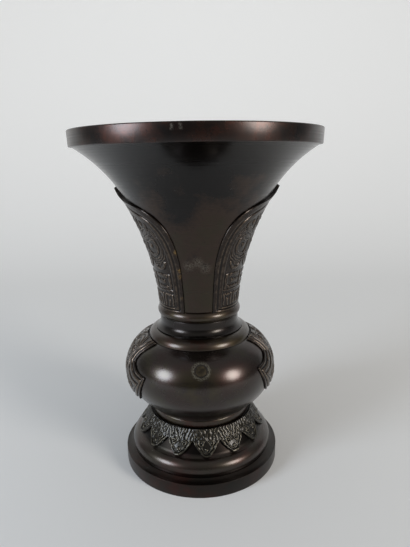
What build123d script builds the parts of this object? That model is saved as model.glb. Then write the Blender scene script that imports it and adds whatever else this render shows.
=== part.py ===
from build123d import *
import os
from math import atan2, cos, degrees, hypot, radians, sin, sqrt, tan

# A flared bronze vase of gu form, 240 mm tall, built up from separately cast and turned pieces.
# Millimetres, +Z up, origin at the centre of the face that it stands on, front towards -Y.
# Profile points are (radius, height), turned about the vertical axis.

# Azimuths from the front
LEFT = -90.0
RIGHT = 90.0

# Fits between pieces
JOINT_GAP = 0.05
RELIEF_BED = 0.2
SOLDER_LEG = 1.6
SPIGOT_PROUD = 2.2

# Plinth ring and the plate that closes the vase
PLINTH_HEIGHT = 10.1
PLINTH_EDGE_ROUND = 0.6
LEDGE_WIDTH = 6.15
LEDGE_RISE = 1.3
LEDGE_HOLLOW = 0.45
LEDGE_MARGIN = 0.4
REGISTER_HEIGHT = 3.0
REGISTER_WALL = 2.8
BASE_PLATE_SEAT = 4.0
BASE_PLATE_THICKNESS = 2.0
BASE_PLATE_RECESS = 3.0

# Foot: a cone under the petals, and a large round moulding below it
MOULDING_RADIUS = 52.6
MOULDING_ROUND = 7.4
MOULDING_LIFT = 3.8
MOULDING_WRAP = 84.0
FOOT_HEIGHT = 27.8
FOOT_TOP_MARGIN = 0.3
FOOT_EDGE_WALL = 2.7
FOOT_WALL = 3.2
SOCKET_DEPTH = 5.0

# Skirt of petals on the foot
PETAL_COUNT = 14
PETAL_TURN = 5.3
PETAL_THICKNESS = 1.1
PETAL_TOP_MARGIN = 0.5
PETAL_TIP_MARGIN = 0.4
PETAL_GAP_HEIGHT = 6.2
PETAL_TIP_WIDTH = 3.4
PETAL_EDGE_SWELL = 0.4

# Ring at the waist
WAIST_RING_WIDTH = 2.75
WAIST_RING_HEIGHT = 5.4
WAIST_RING_ROUND = 0.9

# Belly and its collar
BELLY_RADIUS = 53.8
BELLY_UPPER_CURVE = 26.1
BELLY_LOWER_CURVE = 26.6
BELLY_LOWER_TURN = 45.0
BELLY_WALL = 3.0
WAIST_RADIUS = 36.4
WAIST_SHOULDER = 2.9
WAIST_SPIGOT_WALL = 3.0
COLLAR_WALL = 2.75
COLLAR_SPREAD = 2.8
COLLAR_LIP = 0.6
COLLAR_HEIGHT = 9.3
COLLAR_STRAIGHT = 4.1
COLLAR_GROOVE = 0.8

# Shoulder ring
SHOULDER_RING_WIDTH = 6.15
SHOULDER_RING_HEIGHT = 4.6
SHOULDER_RING_SWELL = 1.5
SHOULDER_RING_TOP = 0.5

# Plugs that close the holes of the core pins
PLUG_RADIUS = 3.65
PLUG_RISE = 37.0
PLUG_TURN = 1.4

# Trumpet
NECK_RADIUS = 26.8
NECK_SHOULDER = 1.4
TRUMPET_HEIGHT = 116.2
TRUMPET_WALL = 3.0
LIP_RADIUS = 81.2
LIP_HEIGHT = 6.2
SLOW_FLARE_SHARE = 0.76
SLOW_FLARE_POWER = 1.9
FAST_FLARE_POWER = 8.0
FLARE_STATIONS = (0.0, 0.15, 0.3, 0.45, 0.6, 0.72, 0.82, 0.9, 0.96, 1.0)

# Bead at the foot of the neck
BEAD_LAND = 1.15
BEAD_SWELL = 1.6
BEAD_HEIGHT = 6.9

# Band round the mouth
RIM_THICKNESS = 2.35
RIM_TAPER = 0.4
RIM_HEIGHT = 10.2
RIM_ROUND = 0.8

# Relief plates: edge as (share of the plate's height, half angle from its middle line, lean), where lean says
# how the lines that follow the edge shift there: up at 1, level at 0, down at -1
NECK_PLAQUE_THICKNESS = 1.6
NECK_PLAQUE_SINK = 0.6
NECK_PLAQUE_HEIGHT = 84.0
NECK_PLAQUE_OUTLINE = (
    (0.0, 69.5, 0.5), (0.36, 69.5, 0.0), (0.54, 67.0, -0.2), (0.67, 62.5, -0.4), (0.76, 56.0, -0.6),
    (0.83, 46.0, -0.9), (0.875, 31.0, -1.0), (0.915, 16.0, -1.0), (0.96, 7.0, -1.0), (1.0, 1.2, -1.0),
)
NECK_PLAQUE_LINES = (2.4, 3.3, 6.0)
BELLY_PLAQUE_THICKNESS = 1.6
BELLY_PLAQUE_SINK = 0.6
BELLY_PLAQUE_HEIGHT = 52.0
BELLY_PLAQUE_FOOT = 7.0
BELLY_PLAQUE_TURN = 3.0
BELLY_PLAQUE_RIGHT_LIFT = 4.0
BELLY_PLAQUE_OUTLINE = (
    (0.0, 12.0, 0.8), (0.07, 24.0, 0.5), (0.17, 33.0, 0.3), (0.31, 38.0, 0.0), (0.44, 41.5, -0.5),
    (0.53, 43.5, -0.85), (0.55, 36.0, -0.85), (0.6, 29.5, -0.6), (0.655, 26.0, -0.3), (0.72, 27.0, 0.0),
    (0.8, 30.5, 0.0), (0.875, 35.0, 0.0), (1.0, 42.0, 0.0),
)
BELLY_PLAQUE_LINES = (1.9, 2.8, 5.6, 7.2, 10.2)

# Raised forms in the plates' fields, the same on both sides of the middle line: the bars of two key frets in
# shares of their cells, the cells in shares of the height and half angles, and rings about bosses
UPRIGHT_FRET = (
    (0.0, 1.0, 0.0, 0.21), (0.8, 1.0, 0.24, 0.76), (0.0, 1.0, 0.79, 1.0), (0.0, 0.58, 0.4, 0.6),
)
BOX_FRET = ((0.0, 0.24, 0.0, 0.79), (0.76, 1.0, 0.0, 0.79), (0.0, 1.0, 0.82, 1.0), (0.38, 0.62, 0.0, 0.62))
NECK_FRET_CELLS = (
    (UPRIGHT_FRET, 0.045, 0.152, 1.0, 18.0),
    (UPRIGHT_FRET, 0.045, 0.152, 20.0, 37.0),
    (UPRIGHT_FRET, 0.045, 0.152, 39.0, 56.0),
    (BOX_FRET, 0.19, 0.322, 1.5, 27.0),
    (BOX_FRET, 0.19, 0.322, 29.5, 55.0),
)
NECK_CUPS = ((0.43, 14.0, 7.0), (0.43, 41.0, 6.6))
NECK_RINGS = ((0.55, 36.0, 7.4), (0.55, 11.5, 6.2), (0.725, 30.5, 7.2), (0.74, 10.5, 6.4))
BELLY_RINGS = ((0.27, 15.0, 5.4), (0.51, 7.5, 5.2), (0.72, 8.0, 5.0))
RING_WIDTH = 2.2
BOSS_RADIUS = 1.9
FORM_BITE = 0.25
BAR_STATIONS = (0.0, 0.5, 1.0)
CUTTER_CORE = 8.0
CUTTER_REACH = 300.0


def turned(*edges):
    """Solid of revolution of a closed chain of profile edges."""
    return revolve(Plane.XZ * make_face(edges), Axis.Z)


def polygon(*points):
    """Closed chain of straight profile edges."""
    return Polyline(*points, close=True)


def on_arc(centre, radius, angle):
    """Point of a profile arc at an angle from the horizontal, in degrees."""
    return (centre[0] + radius * cos(radians(angle)), centre[1] + radius * sin(radians(angle)))


def arc(centre, radius, start, end):
    """Profile arc about a centre from one angle to another."""
    middle = on_arc(centre, radius, (start + end) / 2)
    return ThreePointArc(on_arc(centre, radius, start), middle, on_arc(centre, radius, end))


def swelling_arc(start, end, swell):
    """Profile arc that bows to the left of the way from start to end."""
    length = hypot(end[0] - start[0], end[1] - start[1])
    across = ((start[1] - end[1]) / length, (end[0] - start[0]) / length)
    middle = ((start[0] + end[0]) / 2 + swell * across[0], (start[1] + end[1]) / 2 + swell * across[1])
    return ThreePointArc(start, middle, end)


def sector_cutter(outline, foot, height, turn):
    """Solid that holds everything within the outline's half angles, about an azimuth from the front."""
    sections = []
    for share, half_angle in outline:
        corners = []
        for side, reach in ((-1, CUTTER_CORE), (-1, CUTTER_REACH), (1, CUTTER_REACH), (1, CUTTER_CORE)):
            direction = radians(turn - 90 + side * half_angle)
            corners.append((reach * cos(direction), reach * sin(direction)))
        sections.append(Pos(0, 0, foot + share * height) * make_face(polygon(*corners)))
    return loft(sections, ruled=True)


def inset_outline(outline, step, height, radius):
    """Outline moved inwards by a step along a plate of a given height and radius, without its tip."""
    inset = []
    for share, half_angle, lean in outline:
        narrowed = half_angle - degrees(step / radius)
        if narrowed > 0:
            inset.append((share + lean * step / height, narrowed))
    return inset


def relief_plate(blank, skin, outline, lines, foot, height, turn, radius):
    """Plate cut out of a turned blank, with the skin taken off inside its edge between raised lines."""
    insets = [inset_outline(outline, step, height, radius) for step in (0, *lines)]
    reach = [sector_cutter(inset, foot, height, turn) for inset in insets]
    sunk = reach[1]
    for outer, inner in zip(reach[2::2], reach[3::2]):
        sunk -= outer - inner
    return (blank & reach[0]) - (skin & sunk)


def ring_forms(skin, rings, cups, foot, height, turn):
    """Rings about bosses, and lower halves of rings for cups, mirrored about a plate's middle line."""
    bars = []
    for share, half_angle, radius in rings + cups:
        section = Circle(radius) - Circle(radius - RING_WIDTH)
        if (share, half_angle, radius) in cups:
            section -= Pos(0, radius) * Rectangle(2 * radius, 2 * radius)
        else:
            section += Circle(BOSS_RADIUS)
        for side in (-1, 1):
            direction = radians(turn - 90 + side * half_angle)
            outward = (cos(direction), sin(direction), 0)
            start = (CUTTER_CORE * outward[0], CUTTER_CORE * outward[1], foot + share * height)
            across = (-outward[1], outward[0], 0)
            bars.append(extrude(Plane(start, across, outward) * section, CUTTER_REACH))
    return [solid for bar in bars for solid in (skin & bar).solids()]


# Radii that follow from the neck, the waist and the foot's moulding
neck_spigot_radius = NECK_RADIUS - NECK_SHOULDER
collar_bore = neck_spigot_radius + JOINT_GAP
collar_radius = collar_bore + COLLAR_WALL
collar_root_radius = collar_radius + COLLAR_SPREAD
collar_foot_radius = collar_root_radius + COLLAR_LIP
ring_bore = collar_root_radius + JOINT_GAP
shoulder_ring_radius = ring_bore + SHOULDER_RING_WIDTH
waist_spigot_radius = WAIST_RADIUS - WAIST_SHOULDER
socket_bore = waist_spigot_radius + JOINT_GAP
waist_ring_radius = socket_bore + WAIST_RING_WIDTH
foot_top_radius = waist_ring_radius + FOOT_TOP_MARGIN

# Heights of the seats, from the table up
plate_top = BASE_PLATE_RECESS + BASE_PLATE_THICKNESS
foot_seat = PLINTH_HEIGHT + LEDGE_RISE
foot_top = foot_seat + FOOT_HEIGHT
belly_seat = foot_top + WAIST_RING_HEIGHT
lower_turn = radians(BELLY_LOWER_TURN)
lower_centre_radius = BELLY_RADIUS - BELLY_LOWER_CURVE
upper_centre_radius = BELLY_RADIUS - BELLY_UPPER_CURVE
cone_radius = lower_centre_radius + BELLY_LOWER_CURVE * cos(lower_turn)
cone_height = (cone_radius - WAIST_RADIUS) / tan(lower_turn)
belly_middle = belly_seat + cone_height + BELLY_LOWER_CURVE * sin(lower_turn)
lower_centre = (lower_centre_radius, belly_middle)
upper_centre = (upper_centre_radius, belly_middle)
shoulder_height = belly_middle + sqrt(BELLY_UPPER_CURVE**2 - (collar_root_radius - upper_centre_radius) ** 2)
shoulder_ring_top = shoulder_height + SHOULDER_RING_HEIGHT
collar_foot = shoulder_ring_top + COLLAR_GROOVE
collar_top = collar_foot + COLLAR_HEIGHT
bead_top = collar_top + BEAD_HEIGHT
lip_height = collar_top + TRUMPET_HEIGHT
mouth_height = lip_height + RIM_HEIGHT

nodes = {}

# Plinth ring: an upright ring with a hollow ledge, a recess for the base plate and a register for the foot
moulding_centre = (MOULDING_RADIUS - MOULDING_ROUND, foot_seat + MOULDING_LIFT)
moulding_start = -degrees(atan2(MOULDING_LIFT, sqrt(MOULDING_ROUND**2 - MOULDING_LIFT**2)))
foot_edge = on_arc(moulding_centre, MOULDING_ROUND, moulding_start)
plinth_radius = foot_edge[0] + LEDGE_WIDTH
register_clear = foot_edge[0] - FOOT_EDGE_WALL
register_radius = register_clear - JOINT_GAP
register_bore = register_radius - REGISTER_WALL
register_top = foot_seat + REGISTER_HEIGHT
base_plate_radius = register_bore + BASE_PLATE_SEAT
plinth_bore = base_plate_radius + JOINT_GAP
plinth_shoulder = (plinth_radius, PLINTH_HEIGHT - PLINTH_EDGE_ROUND)
ledge_outer = (plinth_radius - PLINTH_EDGE_ROUND, PLINTH_HEIGHT)
ledge_inner = (foot_edge[0] + LEDGE_MARGIN, foot_seat)
nodes["plinth_ring"] = turned(
    Polyline((plinth_bore, plate_top), (plinth_bore, 0), (plinth_radius, 0), plinth_shoulder),
    arc((ledge_outer[0], plinth_shoulder[1]), PLINTH_EDGE_ROUND, 0, 90),
    swelling_arc(ledge_outer, ledge_inner, LEDGE_HOLLOW),
    Polyline(
        ledge_inner,
        (register_radius, foot_seat),
        (register_radius, register_top),
        (register_bore, register_top),
        (register_bore, plate_top),
        (plinth_bore, plate_top),
    ),
)

# Base plate: a disc let in from below against the plinth ring's flange, and its fillet of solder
nodes["base_plate"] = Pos(0, 0, BASE_PLATE_RECESS) * Cylinder(
    base_plate_radius, BASE_PLATE_THICKNESS, align=(Align.CENTER, Align.CENTER, Align.MIN)
)
plate_corner = (plinth_bore - JOINT_GAP, BASE_PLATE_RECESS - JOINT_GAP)
nodes["base_plate_solder"] = turned(
    polygon(
        plate_corner,
        (plate_corner[0] - SOLDER_LEG, plate_corner[1]),
        (plate_corner[0], plate_corner[1] - SOLDER_LEG),
    )
)

# Foot: round moulding, cone and socket for the belly's spigot
valley = on_arc(moulding_centre, MOULDING_ROUND, MOULDING_WRAP)
cone_length = hypot(valley[0] - foot_top_radius, foot_top - valley[1])
cone_along = ((foot_top_radius - valley[0]) / cone_length, (foot_top - valley[1]) / cone_length)
cone_out = (cone_along[1], -cone_along[0])
socket_foot = foot_top - SOCKET_DEPTH
cone_inner = (valley[0] - FOOT_WALL / cone_out[0], valley[1])
nodes["foot"] = turned(
    Line((register_clear, foot_seat), foot_edge),
    arc(moulding_centre, MOULDING_ROUND, moulding_start, MOULDING_WRAP),
    Polyline(
        valley,
        (foot_top_radius, foot_top),
        (socket_bore, foot_top),
        (socket_bore, socket_foot),
        cone_inner,
        (register_clear, register_top + JOINT_GAP),
        (register_clear, foot_seat),
    ),
)


# Skirt of petals: a thin cone over the foot, cut into points by a row of pointed gaps
def on_cone(along, out):
    """Point at a distance up the foot's cone from the valley and a height off its surface."""
    return (
        valley[0] + along * cone_along[0] + out * cone_out[0],
        valley[1] + along * cone_along[1] + out * cone_out[1],
    )


petal_outer = RELIEF_BED + PETAL_THICKNESS
petal_top = cone_length - PETAL_TOP_MARGIN
skirt = turned(
    polygon(
        on_cone(PETAL_TIP_MARGIN, RELIEF_BED),
        on_cone(PETAL_TIP_MARGIN, petal_outer),
        on_cone(petal_top, petal_outer),
        on_cone(petal_top, RELIEF_BED),
    )
)
petal_pitch = 360 / PETAL_COUNT
tip_low = on_cone(PETAL_TIP_MARGIN, RELIEF_BED)
tip_outer = on_cone(PETAL_TIP_MARGIN, petal_outer)
gap_half_width = tip_outer[0] * tan(radians(petal_pitch / 2)) - PETAL_TIP_WIDTH / 2
gap_apex = (0, tip_low[1] + PETAL_GAP_HEIGHT)
gap_left = (-gap_half_width, tip_low[1])
gap_right = (gap_half_width, tip_low[1])
gap_base = tip_low[1] - petal_outer
gap_outline = make_face(
    [
        swelling_arc(gap_left, gap_apex, -PETAL_EDGE_SWELL),
        swelling_arc(gap_apex, gap_right, -PETAL_EDGE_SWELL),
        Polyline(gap_right, (gap_half_width, gap_base), (-gap_half_width, gap_base), gap_left),
    ]
)
for petal in range(PETAL_COUNT):
    azimuth = PETAL_TURN + (petal + 0.5) * petal_pitch
    outward = Vector(sin(radians(azimuth)), -cos(radians(azimuth)), 0)
    across = Vector(cos(radians(azimuth)), sin(radians(azimuth)), 0)
    gap_plane = Plane(origin=(0, 0, 0), x_dir=across, z_dir=outward)
    skirt -= extrude(gap_plane * gap_outline, CUTTER_REACH)
nodes["lappet_collar"] = skirt

# Waist ring: a plain ring round the belly's spigot, clamped between foot and belly
waist_round_low = (waist_ring_radius - WAIST_RING_ROUND, foot_top + WAIST_RING_ROUND)
waist_round_high = (waist_ring_radius - WAIST_RING_ROUND, belly_seat - WAIST_RING_ROUND)
nodes["waist_ring"] = turned(
    Line((socket_bore, foot_top), (waist_round_low[0], foot_top)),
    arc(waist_round_low, WAIST_RING_ROUND, -90, 0),
    Line((waist_ring_radius, waist_round_low[1]), (waist_ring_radius, waist_round_high[1])),
    arc(waist_round_high, WAIST_RING_ROUND, 0, 90),
    Polyline((waist_round_high[0], belly_seat), (socket_bore, belly_seat), (socket_bore, foot_top)),
)


# Belly: a bulb of two arcs and a cone, with a hollow-sided collar above and a spigot below
def upper_angle(radius, offset):
    """Angle on the belly's upper arc, offset outwards, where it has a given radius."""
    curve = BELLY_UPPER_CURVE + offset
    reach = radius - upper_centre_radius
    return degrees(atan2(sqrt(curve**2 - reach**2), reach))


def belly_side(top_radius, foot_radius, offset):
    """Belly outline, offset outwards, from a radius above the middle down to a radius on the cone."""
    upper_curve = BELLY_UPPER_CURVE + offset
    lower_curve = BELLY_LOWER_CURVE + offset
    cone_start = on_arc(lower_centre, lower_curve, -BELLY_LOWER_TURN)
    cone_end = (foot_radius, cone_start[1] - (cone_start[0] - foot_radius) / tan(lower_turn))
    return [
        arc(upper_centre, upper_curve, upper_angle(top_radius, offset), 0),
        arc(lower_centre, lower_curve, 0, -BELLY_LOWER_TURN),
        Line(cone_start, cone_end),
    ]


spigot_bore = waist_spigot_radius - WAIST_SPIGOT_WALL
spigot_foot = socket_foot - SPIGOT_PROUD
outside = belly_side(collar_root_radius, WAIST_RADIUS, 0)
inside = belly_side(collar_bore, spigot_bore, -BELLY_WALL)
collar_hollow_top = collar_top - COLLAR_STRAIGHT
belly_wall = turned(
    *outside,
    Polyline(
        (WAIST_RADIUS, belly_seat),
        (waist_spigot_radius, belly_seat),
        (waist_spigot_radius, spigot_foot),
        (spigot_bore, spigot_foot),
        inside[2] @ 1,
    ),
    *inside,
    Polyline(
        inside[0] @ 0,
        (collar_bore, collar_top),
        (collar_radius, collar_top),
        (collar_radius, collar_hollow_top),
    ),
    TangentArc((collar_radius, collar_hollow_top), (collar_foot_radius, collar_foot), tangent=(0, -1)),
    Polyline(
        (collar_foot_radius, collar_foot),
        (collar_root_radius, collar_foot),
        (collar_root_radius, shoulder_height),
    ),
)

# Core plugs: short round plugs driven into the belly wall, dressed flush inside and out
holed_belly = belly_wall
for node, turn in (("core_plug_front", PLUG_TURN), ("core_plug_back", PLUG_TURN + 180)):
    inward_end = BELLY_UPPER_CURVE - 2 * BELLY_WALL
    plug_length = 3 * BELLY_WALL
    axis_place = (
        Rot(0, 0, turn - 90)
        * Pos(upper_centre_radius, 0, belly_middle)
        * Rot(0, 90 - PLUG_RISE, 0)
        * Pos(0, 0, inward_end)
    )
    seat = (Align.CENTER, Align.CENTER, Align.MIN)
    nodes[node] = belly_wall & (axis_place * Cylinder(PLUG_RADIUS - JOINT_GAP, plug_length, align=seat))
    holed_belly -= axis_place * Cylinder(PLUG_RADIUS, plug_length, align=seat)
nodes["belly"] = holed_belly

# Fillet of solder round the belly's spigot, under the foot's socket
socket_corner = (socket_bore, socket_foot)
socket_reach = hypot(cone_inner[0] - socket_bore, cone_inner[1] - socket_foot)
socket_slope = ((cone_inner[0] - socket_bore) / socket_reach, (cone_inner[1] - socket_foot) / socket_reach)
fillet_top = (socket_corner[0], socket_corner[1] - 2 * JOINT_GAP)
nodes["waist_solder"] = turned(
    polygon(
        fillet_top,
        (fillet_top[0], fillet_top[1] - SOLDER_LEG),
        (fillet_top[0] + SOLDER_LEG * socket_slope[0], fillet_top[1] + SOLDER_LEG * socket_slope[1]),
    )
)

# Shoulder ring: a half-round ring bedded in the corner between collar and shoulder
ring_bed = BELLY_UPPER_CURVE + JOINT_GAP
ring_bed_inner = upper_angle(ring_bore, JOINT_GAP)
ring_bed_outer = upper_angle(shoulder_ring_radius, JOINT_GAP)
ring_edge = on_arc(upper_centre, ring_bed, ring_bed_outer)
ring_crown = (ring_bore + SHOULDER_RING_TOP, shoulder_ring_top)
nodes["shoulder_ring"] = turned(
    arc(upper_centre, ring_bed, ring_bed_inner, ring_bed_outer),
    swelling_arc(ring_edge, ring_crown, -SHOULDER_RING_SWELL),
    Polyline(ring_crown, (ring_bore, shoulder_ring_top), on_arc(upper_centre, ring_bed, ring_bed_inner)),
)


# Belly plaques: relief plates that hang from the shoulder ring, one on each side
def belly_shell(inner, outer):
    """Turned shell between two offsets from the belly's outside, from the shoulder ring to the waist."""
    top_radius = shoulder_ring_radius + RELIEF_BED
    inner_side = belly_side(top_radius, WAIST_RADIUS, inner)
    outer_side = belly_side(top_radius, WAIST_RADIUS, outer)
    return turned(
        *inner_side,
        Line(inner_side[2] @ 1, outer_side[2] @ 1),
        *outer_side,
        Line(outer_side[0] @ 0, inner_side[0] @ 0),
    )


belly_plaque_face = RELIEF_BED + BELLY_PLAQUE_THICKNESS
belly_blank = belly_shell(RELIEF_BED, belly_plaque_face)
belly_skin = belly_shell(belly_plaque_face - BELLY_PLAQUE_SINK, belly_plaque_face + BELLY_PLAQUE_SINK)
belly_relief = belly_shell(belly_plaque_face - BELLY_PLAQUE_SINK - FORM_BITE, belly_plaque_face)
belly_plaque_foot = belly_seat + BELLY_PLAQUE_FOOT
for node, turn, lift in (
    ("belly_plaque_left", LEFT + BELLY_PLAQUE_TURN, 0),
    ("belly_plaque_right", RIGHT + BELLY_PLAQUE_TURN, BELLY_PLAQUE_RIGHT_LIFT),
):
    foot = belly_plaque_foot + lift
    plate = relief_plate(
        belly_blank,
        belly_skin,
        BELLY_PLAQUE_OUTLINE,
        BELLY_PLAQUE_LINES,
        foot,
        BELLY_PLAQUE_HEIGHT,
        turn,
        BELLY_RADIUS,
    )
    nodes[node] = plate + ring_forms(belly_relief, BELLY_RINGS, (), foot, BELLY_PLAQUE_HEIGHT, turn)


# Trumpet: a neck that opens slowly and then fast to a thin lip, with a spigot for the collar
def flare(height, offset):
    """Point of the trumpet's outside at a share of its height, moved outwards along its normal."""
    span = LIP_RADIUS - NECK_RADIUS
    fast_share = 1 - SLOW_FLARE_SHARE
    slow = SLOW_FLARE_SHARE * height**SLOW_FLARE_POWER
    fast = fast_share * height**FAST_FLARE_POWER
    slow_slope = SLOW_FLARE_SHARE * SLOW_FLARE_POWER * height ** (SLOW_FLARE_POWER - 1)
    fast_slope = fast_share * FAST_FLARE_POWER * height ** (FAST_FLARE_POWER - 1)
    slope = span * (slow_slope + fast_slope) / TRUMPET_HEIGHT
    radius = NECK_RADIUS + span * (slow + fast)
    steep = hypot(1, slope)
    return (radius + offset / steep, collar_top + height * TRUMPET_HEIGHT - offset * slope / steep)


trumpet_outside = Spline(*[flare(height, 0) for height in FLARE_STATIONS])
trumpet_inside = Spline(*[flare(height, -TRUMPET_WALL) for height in FLARE_STATIONS])
neck_bore = NECK_RADIUS - TRUMPET_WALL
lip_bore = flare(1.0, -TRUMPET_WALL)[0]
lip_top = lip_height + LIP_HEIGHT


def belly_roof(radius):
    """Height of the belly's inside above a radius near the collar."""
    curve = BELLY_UPPER_CURVE - BELLY_WALL
    return belly_middle + sqrt(curve**2 - (radius - upper_centre_radius) ** 2)


neck_spigot_foot = belly_roof(collar_bore) - SPIGOT_PROUD
nodes["mouth_trumpet"] = turned(
    trumpet_outside,
    Polyline(
        (LIP_RADIUS, lip_height),
        (LIP_RADIUS, lip_top),
        (lip_bore, lip_top),
        trumpet_inside @ 1,
    ),
    trumpet_inside,
    Polyline(
        (neck_bore, collar_top),
        (neck_bore, neck_spigot_foot),
        (neck_spigot_radius, neck_spigot_foot),
        (neck_spigot_radius, collar_top),
        (NECK_RADIUS, collar_top),
    ),
)

# Fillet of solder round the neck's spigot, inside the belly
fillet_roof = min(belly_roof(collar_bore), belly_roof(collar_bore + SOLDER_LEG))
fillet_corner = (collar_bore, fillet_roof - JOINT_GAP)
nodes["neck_solder"] = turned(
    polygon(
        fillet_corner,
        (fillet_corner[0], fillet_corner[1] - SOLDER_LEG),
        (fillet_corner[0] + SOLDER_LEG, fillet_corner[1]),
    )
)

# Neck ring: a bead slipped over the neck, standing on the collar
bead_bore = flare(BEAD_HEIGHT / TRUMPET_HEIGHT, JOINT_GAP)[0]
bead_edge = bead_bore + BEAD_LAND
bead_foot = (bead_edge, collar_top)
bead_head = (bead_edge, bead_top)
nodes["neck_ring"] = turned(
    swelling_arc(bead_foot, bead_head, -BEAD_SWELL),
    Polyline(bead_head, (bead_bore, bead_top), (bead_bore, collar_top), bead_foot),
)


# Neck plaques: leaf-shaped relief plates on both sides of the neck, standing on the bead
def neck_shell(inner, outer):
    """Turned shell between two offsets from the trumpet's outside."""
    inner_side = Spline(*[flare(height, inner) for height in FLARE_STATIONS])
    outer_side = Spline(*[flare(height, outer) for height in FLARE_STATIONS])
    return turned(
        inner_side,
        Line(inner_side @ 1, outer_side @ 1),
        outer_side,
        Line(outer_side @ 0, inner_side @ 0),
    )


neck_plaque_face = RELIEF_BED + NECK_PLAQUE_THICKNESS
neck_blank = neck_shell(RELIEF_BED, neck_plaque_face)
neck_skin = neck_shell(neck_plaque_face - NECK_PLAQUE_SINK, neck_plaque_face + NECK_PLAQUE_SINK)
neck_relief = neck_shell(neck_plaque_face - NECK_PLAQUE_SINK - FORM_BITE, neck_plaque_face)
neck_plaque_foot = bead_top + RELIEF_BED


def fret_bars(cells, foot, height, turn):
    """Bars of key frets bedded in the neck plaque's field, mirrored about its middle line."""
    bars = []
    for fret, low, high, inner, outer in cells:
        for bar_low, bar_high, bar_inner, bar_outer in fret:
            bottom = foot + height * (low + (high - low) * bar_low) - collar_top
            rise = height * (high - low) * (bar_high - bar_low)
            levels = [(bottom + rise * share) / TRUMPET_HEIGHT for share in BAR_STATIONS]
            bed = neck_plaque_face - NECK_PLAQUE_SINK - FORM_BITE
            bed_side = Spline(*[flare(level, bed) for level in levels])
            face_side = Spline(*[flare(level, neck_plaque_face) for level in levels])
            section = make_face(
                [bed_side, Line(bed_side @ 1, face_side @ 1), face_side, Line(face_side @ 0, bed_side @ 0)]
            )
            near = inner + (outer - inner) * bar_inner
            far = inner + (outer - inner) * bar_outer
            for start in (near, -far):
                bar = revolve(Plane.XZ * section, Axis.Z, far - near)
                bars.append(Rot(0, 0, turn - 90 + start) * bar)
    return bars


neck_plate = relief_plate(
    neck_blank,
    neck_skin,
    NECK_PLAQUE_OUTLINE,
    NECK_PLAQUE_LINES,
    neck_plaque_foot,
    NECK_PLAQUE_HEIGHT,
    LEFT,
    NECK_RADIUS,
)
neck_rings = ring_forms(neck_relief, NECK_RINGS, NECK_CUPS, neck_plaque_foot, NECK_PLAQUE_HEIGHT, LEFT)
neck_frets = fret_bars(NECK_FRET_CELLS, neck_plaque_foot, NECK_PLAQUE_HEIGHT, LEFT)
nodes["neck_plaque_left"] = neck_plate + neck_rings + neck_frets
nodes["neck_plaque_right"] = Rot(0, 0, RIGHT - LEFT) * nodes["neck_plaque_left"]

# Rim band: a heavy ring, rebated underneath to take the trumpet's lip
rebate = LIP_RADIUS + JOINT_GAP
rim_radius = rebate + RIM_THICKNESS
rim_round_centre = (rim_radius - RIM_ROUND, mouth_height - RIM_ROUND)
nodes["rim_band"] = turned(
    Polyline(
        (rim_round_centre[0], mouth_height),
        (lip_bore, mouth_height),
        (lip_bore, lip_top),
        (rebate, lip_top),
        (rebate, lip_height),
        (rim_radius - RIM_TAPER, lip_height),
        (rim_radius, rim_round_centre[1]),
    ),
    arc(rim_round_centre, RIM_ROUND, 0, 90),
)

os.makedirs("parts", exist_ok=True)
for node, solid in nodes.items():
    export_step(solid, "parts/" + node + ".step")
    print(node, round(solid.volume, 1))
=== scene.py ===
from math import atan2, cos, degrees, pi, radians, sin, sqrt

import bpy
import numpy as np
from mathutils import Matrix, Vector


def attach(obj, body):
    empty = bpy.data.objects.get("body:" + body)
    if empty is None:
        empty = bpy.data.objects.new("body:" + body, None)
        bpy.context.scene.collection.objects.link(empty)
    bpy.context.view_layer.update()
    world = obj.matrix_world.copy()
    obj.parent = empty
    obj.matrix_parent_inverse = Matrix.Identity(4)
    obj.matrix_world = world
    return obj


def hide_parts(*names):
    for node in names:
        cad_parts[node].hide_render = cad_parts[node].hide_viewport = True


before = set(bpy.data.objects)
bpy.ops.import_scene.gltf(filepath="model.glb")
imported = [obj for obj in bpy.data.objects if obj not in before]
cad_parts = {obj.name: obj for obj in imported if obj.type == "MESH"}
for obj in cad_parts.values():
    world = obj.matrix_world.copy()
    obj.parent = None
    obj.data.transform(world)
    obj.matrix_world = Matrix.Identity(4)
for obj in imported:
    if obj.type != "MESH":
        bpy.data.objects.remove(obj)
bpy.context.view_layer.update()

# Plinth ring: the upright ring that the vase stands on, cast in bronze and turned, with a hollow ledge.
# The foot sits on it over a register, and the base plate is let into it from below and soldered.
MM = 0.001
TURN_STEPS = 288
SHARP_ANGLE = radians(38)
CORNER_REACH = 0.45
CORNER_SHARES = (0.0, 0.33, 0.67, 1.0)
# Dark colour of grime in pits, joints and nicks, also laid over as painted shade where a surface is dulled.
GRIME_AND_SHADE = "#0C0A08"
# Levels of the clouds at which each brown is reached, and of noise between which pits and lines show.
CLOUD_LEVELS = (0.37, 0.5, 0.66)
CLOUD_ROUGHNESS = 0.66
PIT_SPACING = 2.4
PIT_LEVELS = (0.7, 0.8)
PIT_SHARE = 0.75
LINE_LEVELS = (0.3, 0.7)
LINE_GLOSS = 0.03
LINE_STRENGTH = 0.2
# Spacing and depth of turning lines. Real ones are too fine to show, so these are drawn coarser.
FINE_LINES = (0.7, 0.012)
JOINT_GAP = 0.05
PLINTH_RADIUS = 57.7
PLINTH_HEIGHT = 10.1
PLATE_BORE = 50.05
PLATE_SEAT = 5.0
LEDGE_OUTSIDE = 57.1
LEDGE_INSIDE = 51.95
LEDGE_RISE = 1.3
LEDGE_HOLLOW = 0.45
REGISTER_RADIUS = 48.8
REGISTER_BORE = 46.0
REGISTER_HEIGHT = 3.0
FOOT_SEAT = PLINTH_HEIGHT + LEDGE_RISE
REGISTER_TOP = FOOT_SEAT + REGISTER_HEIGHT


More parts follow.
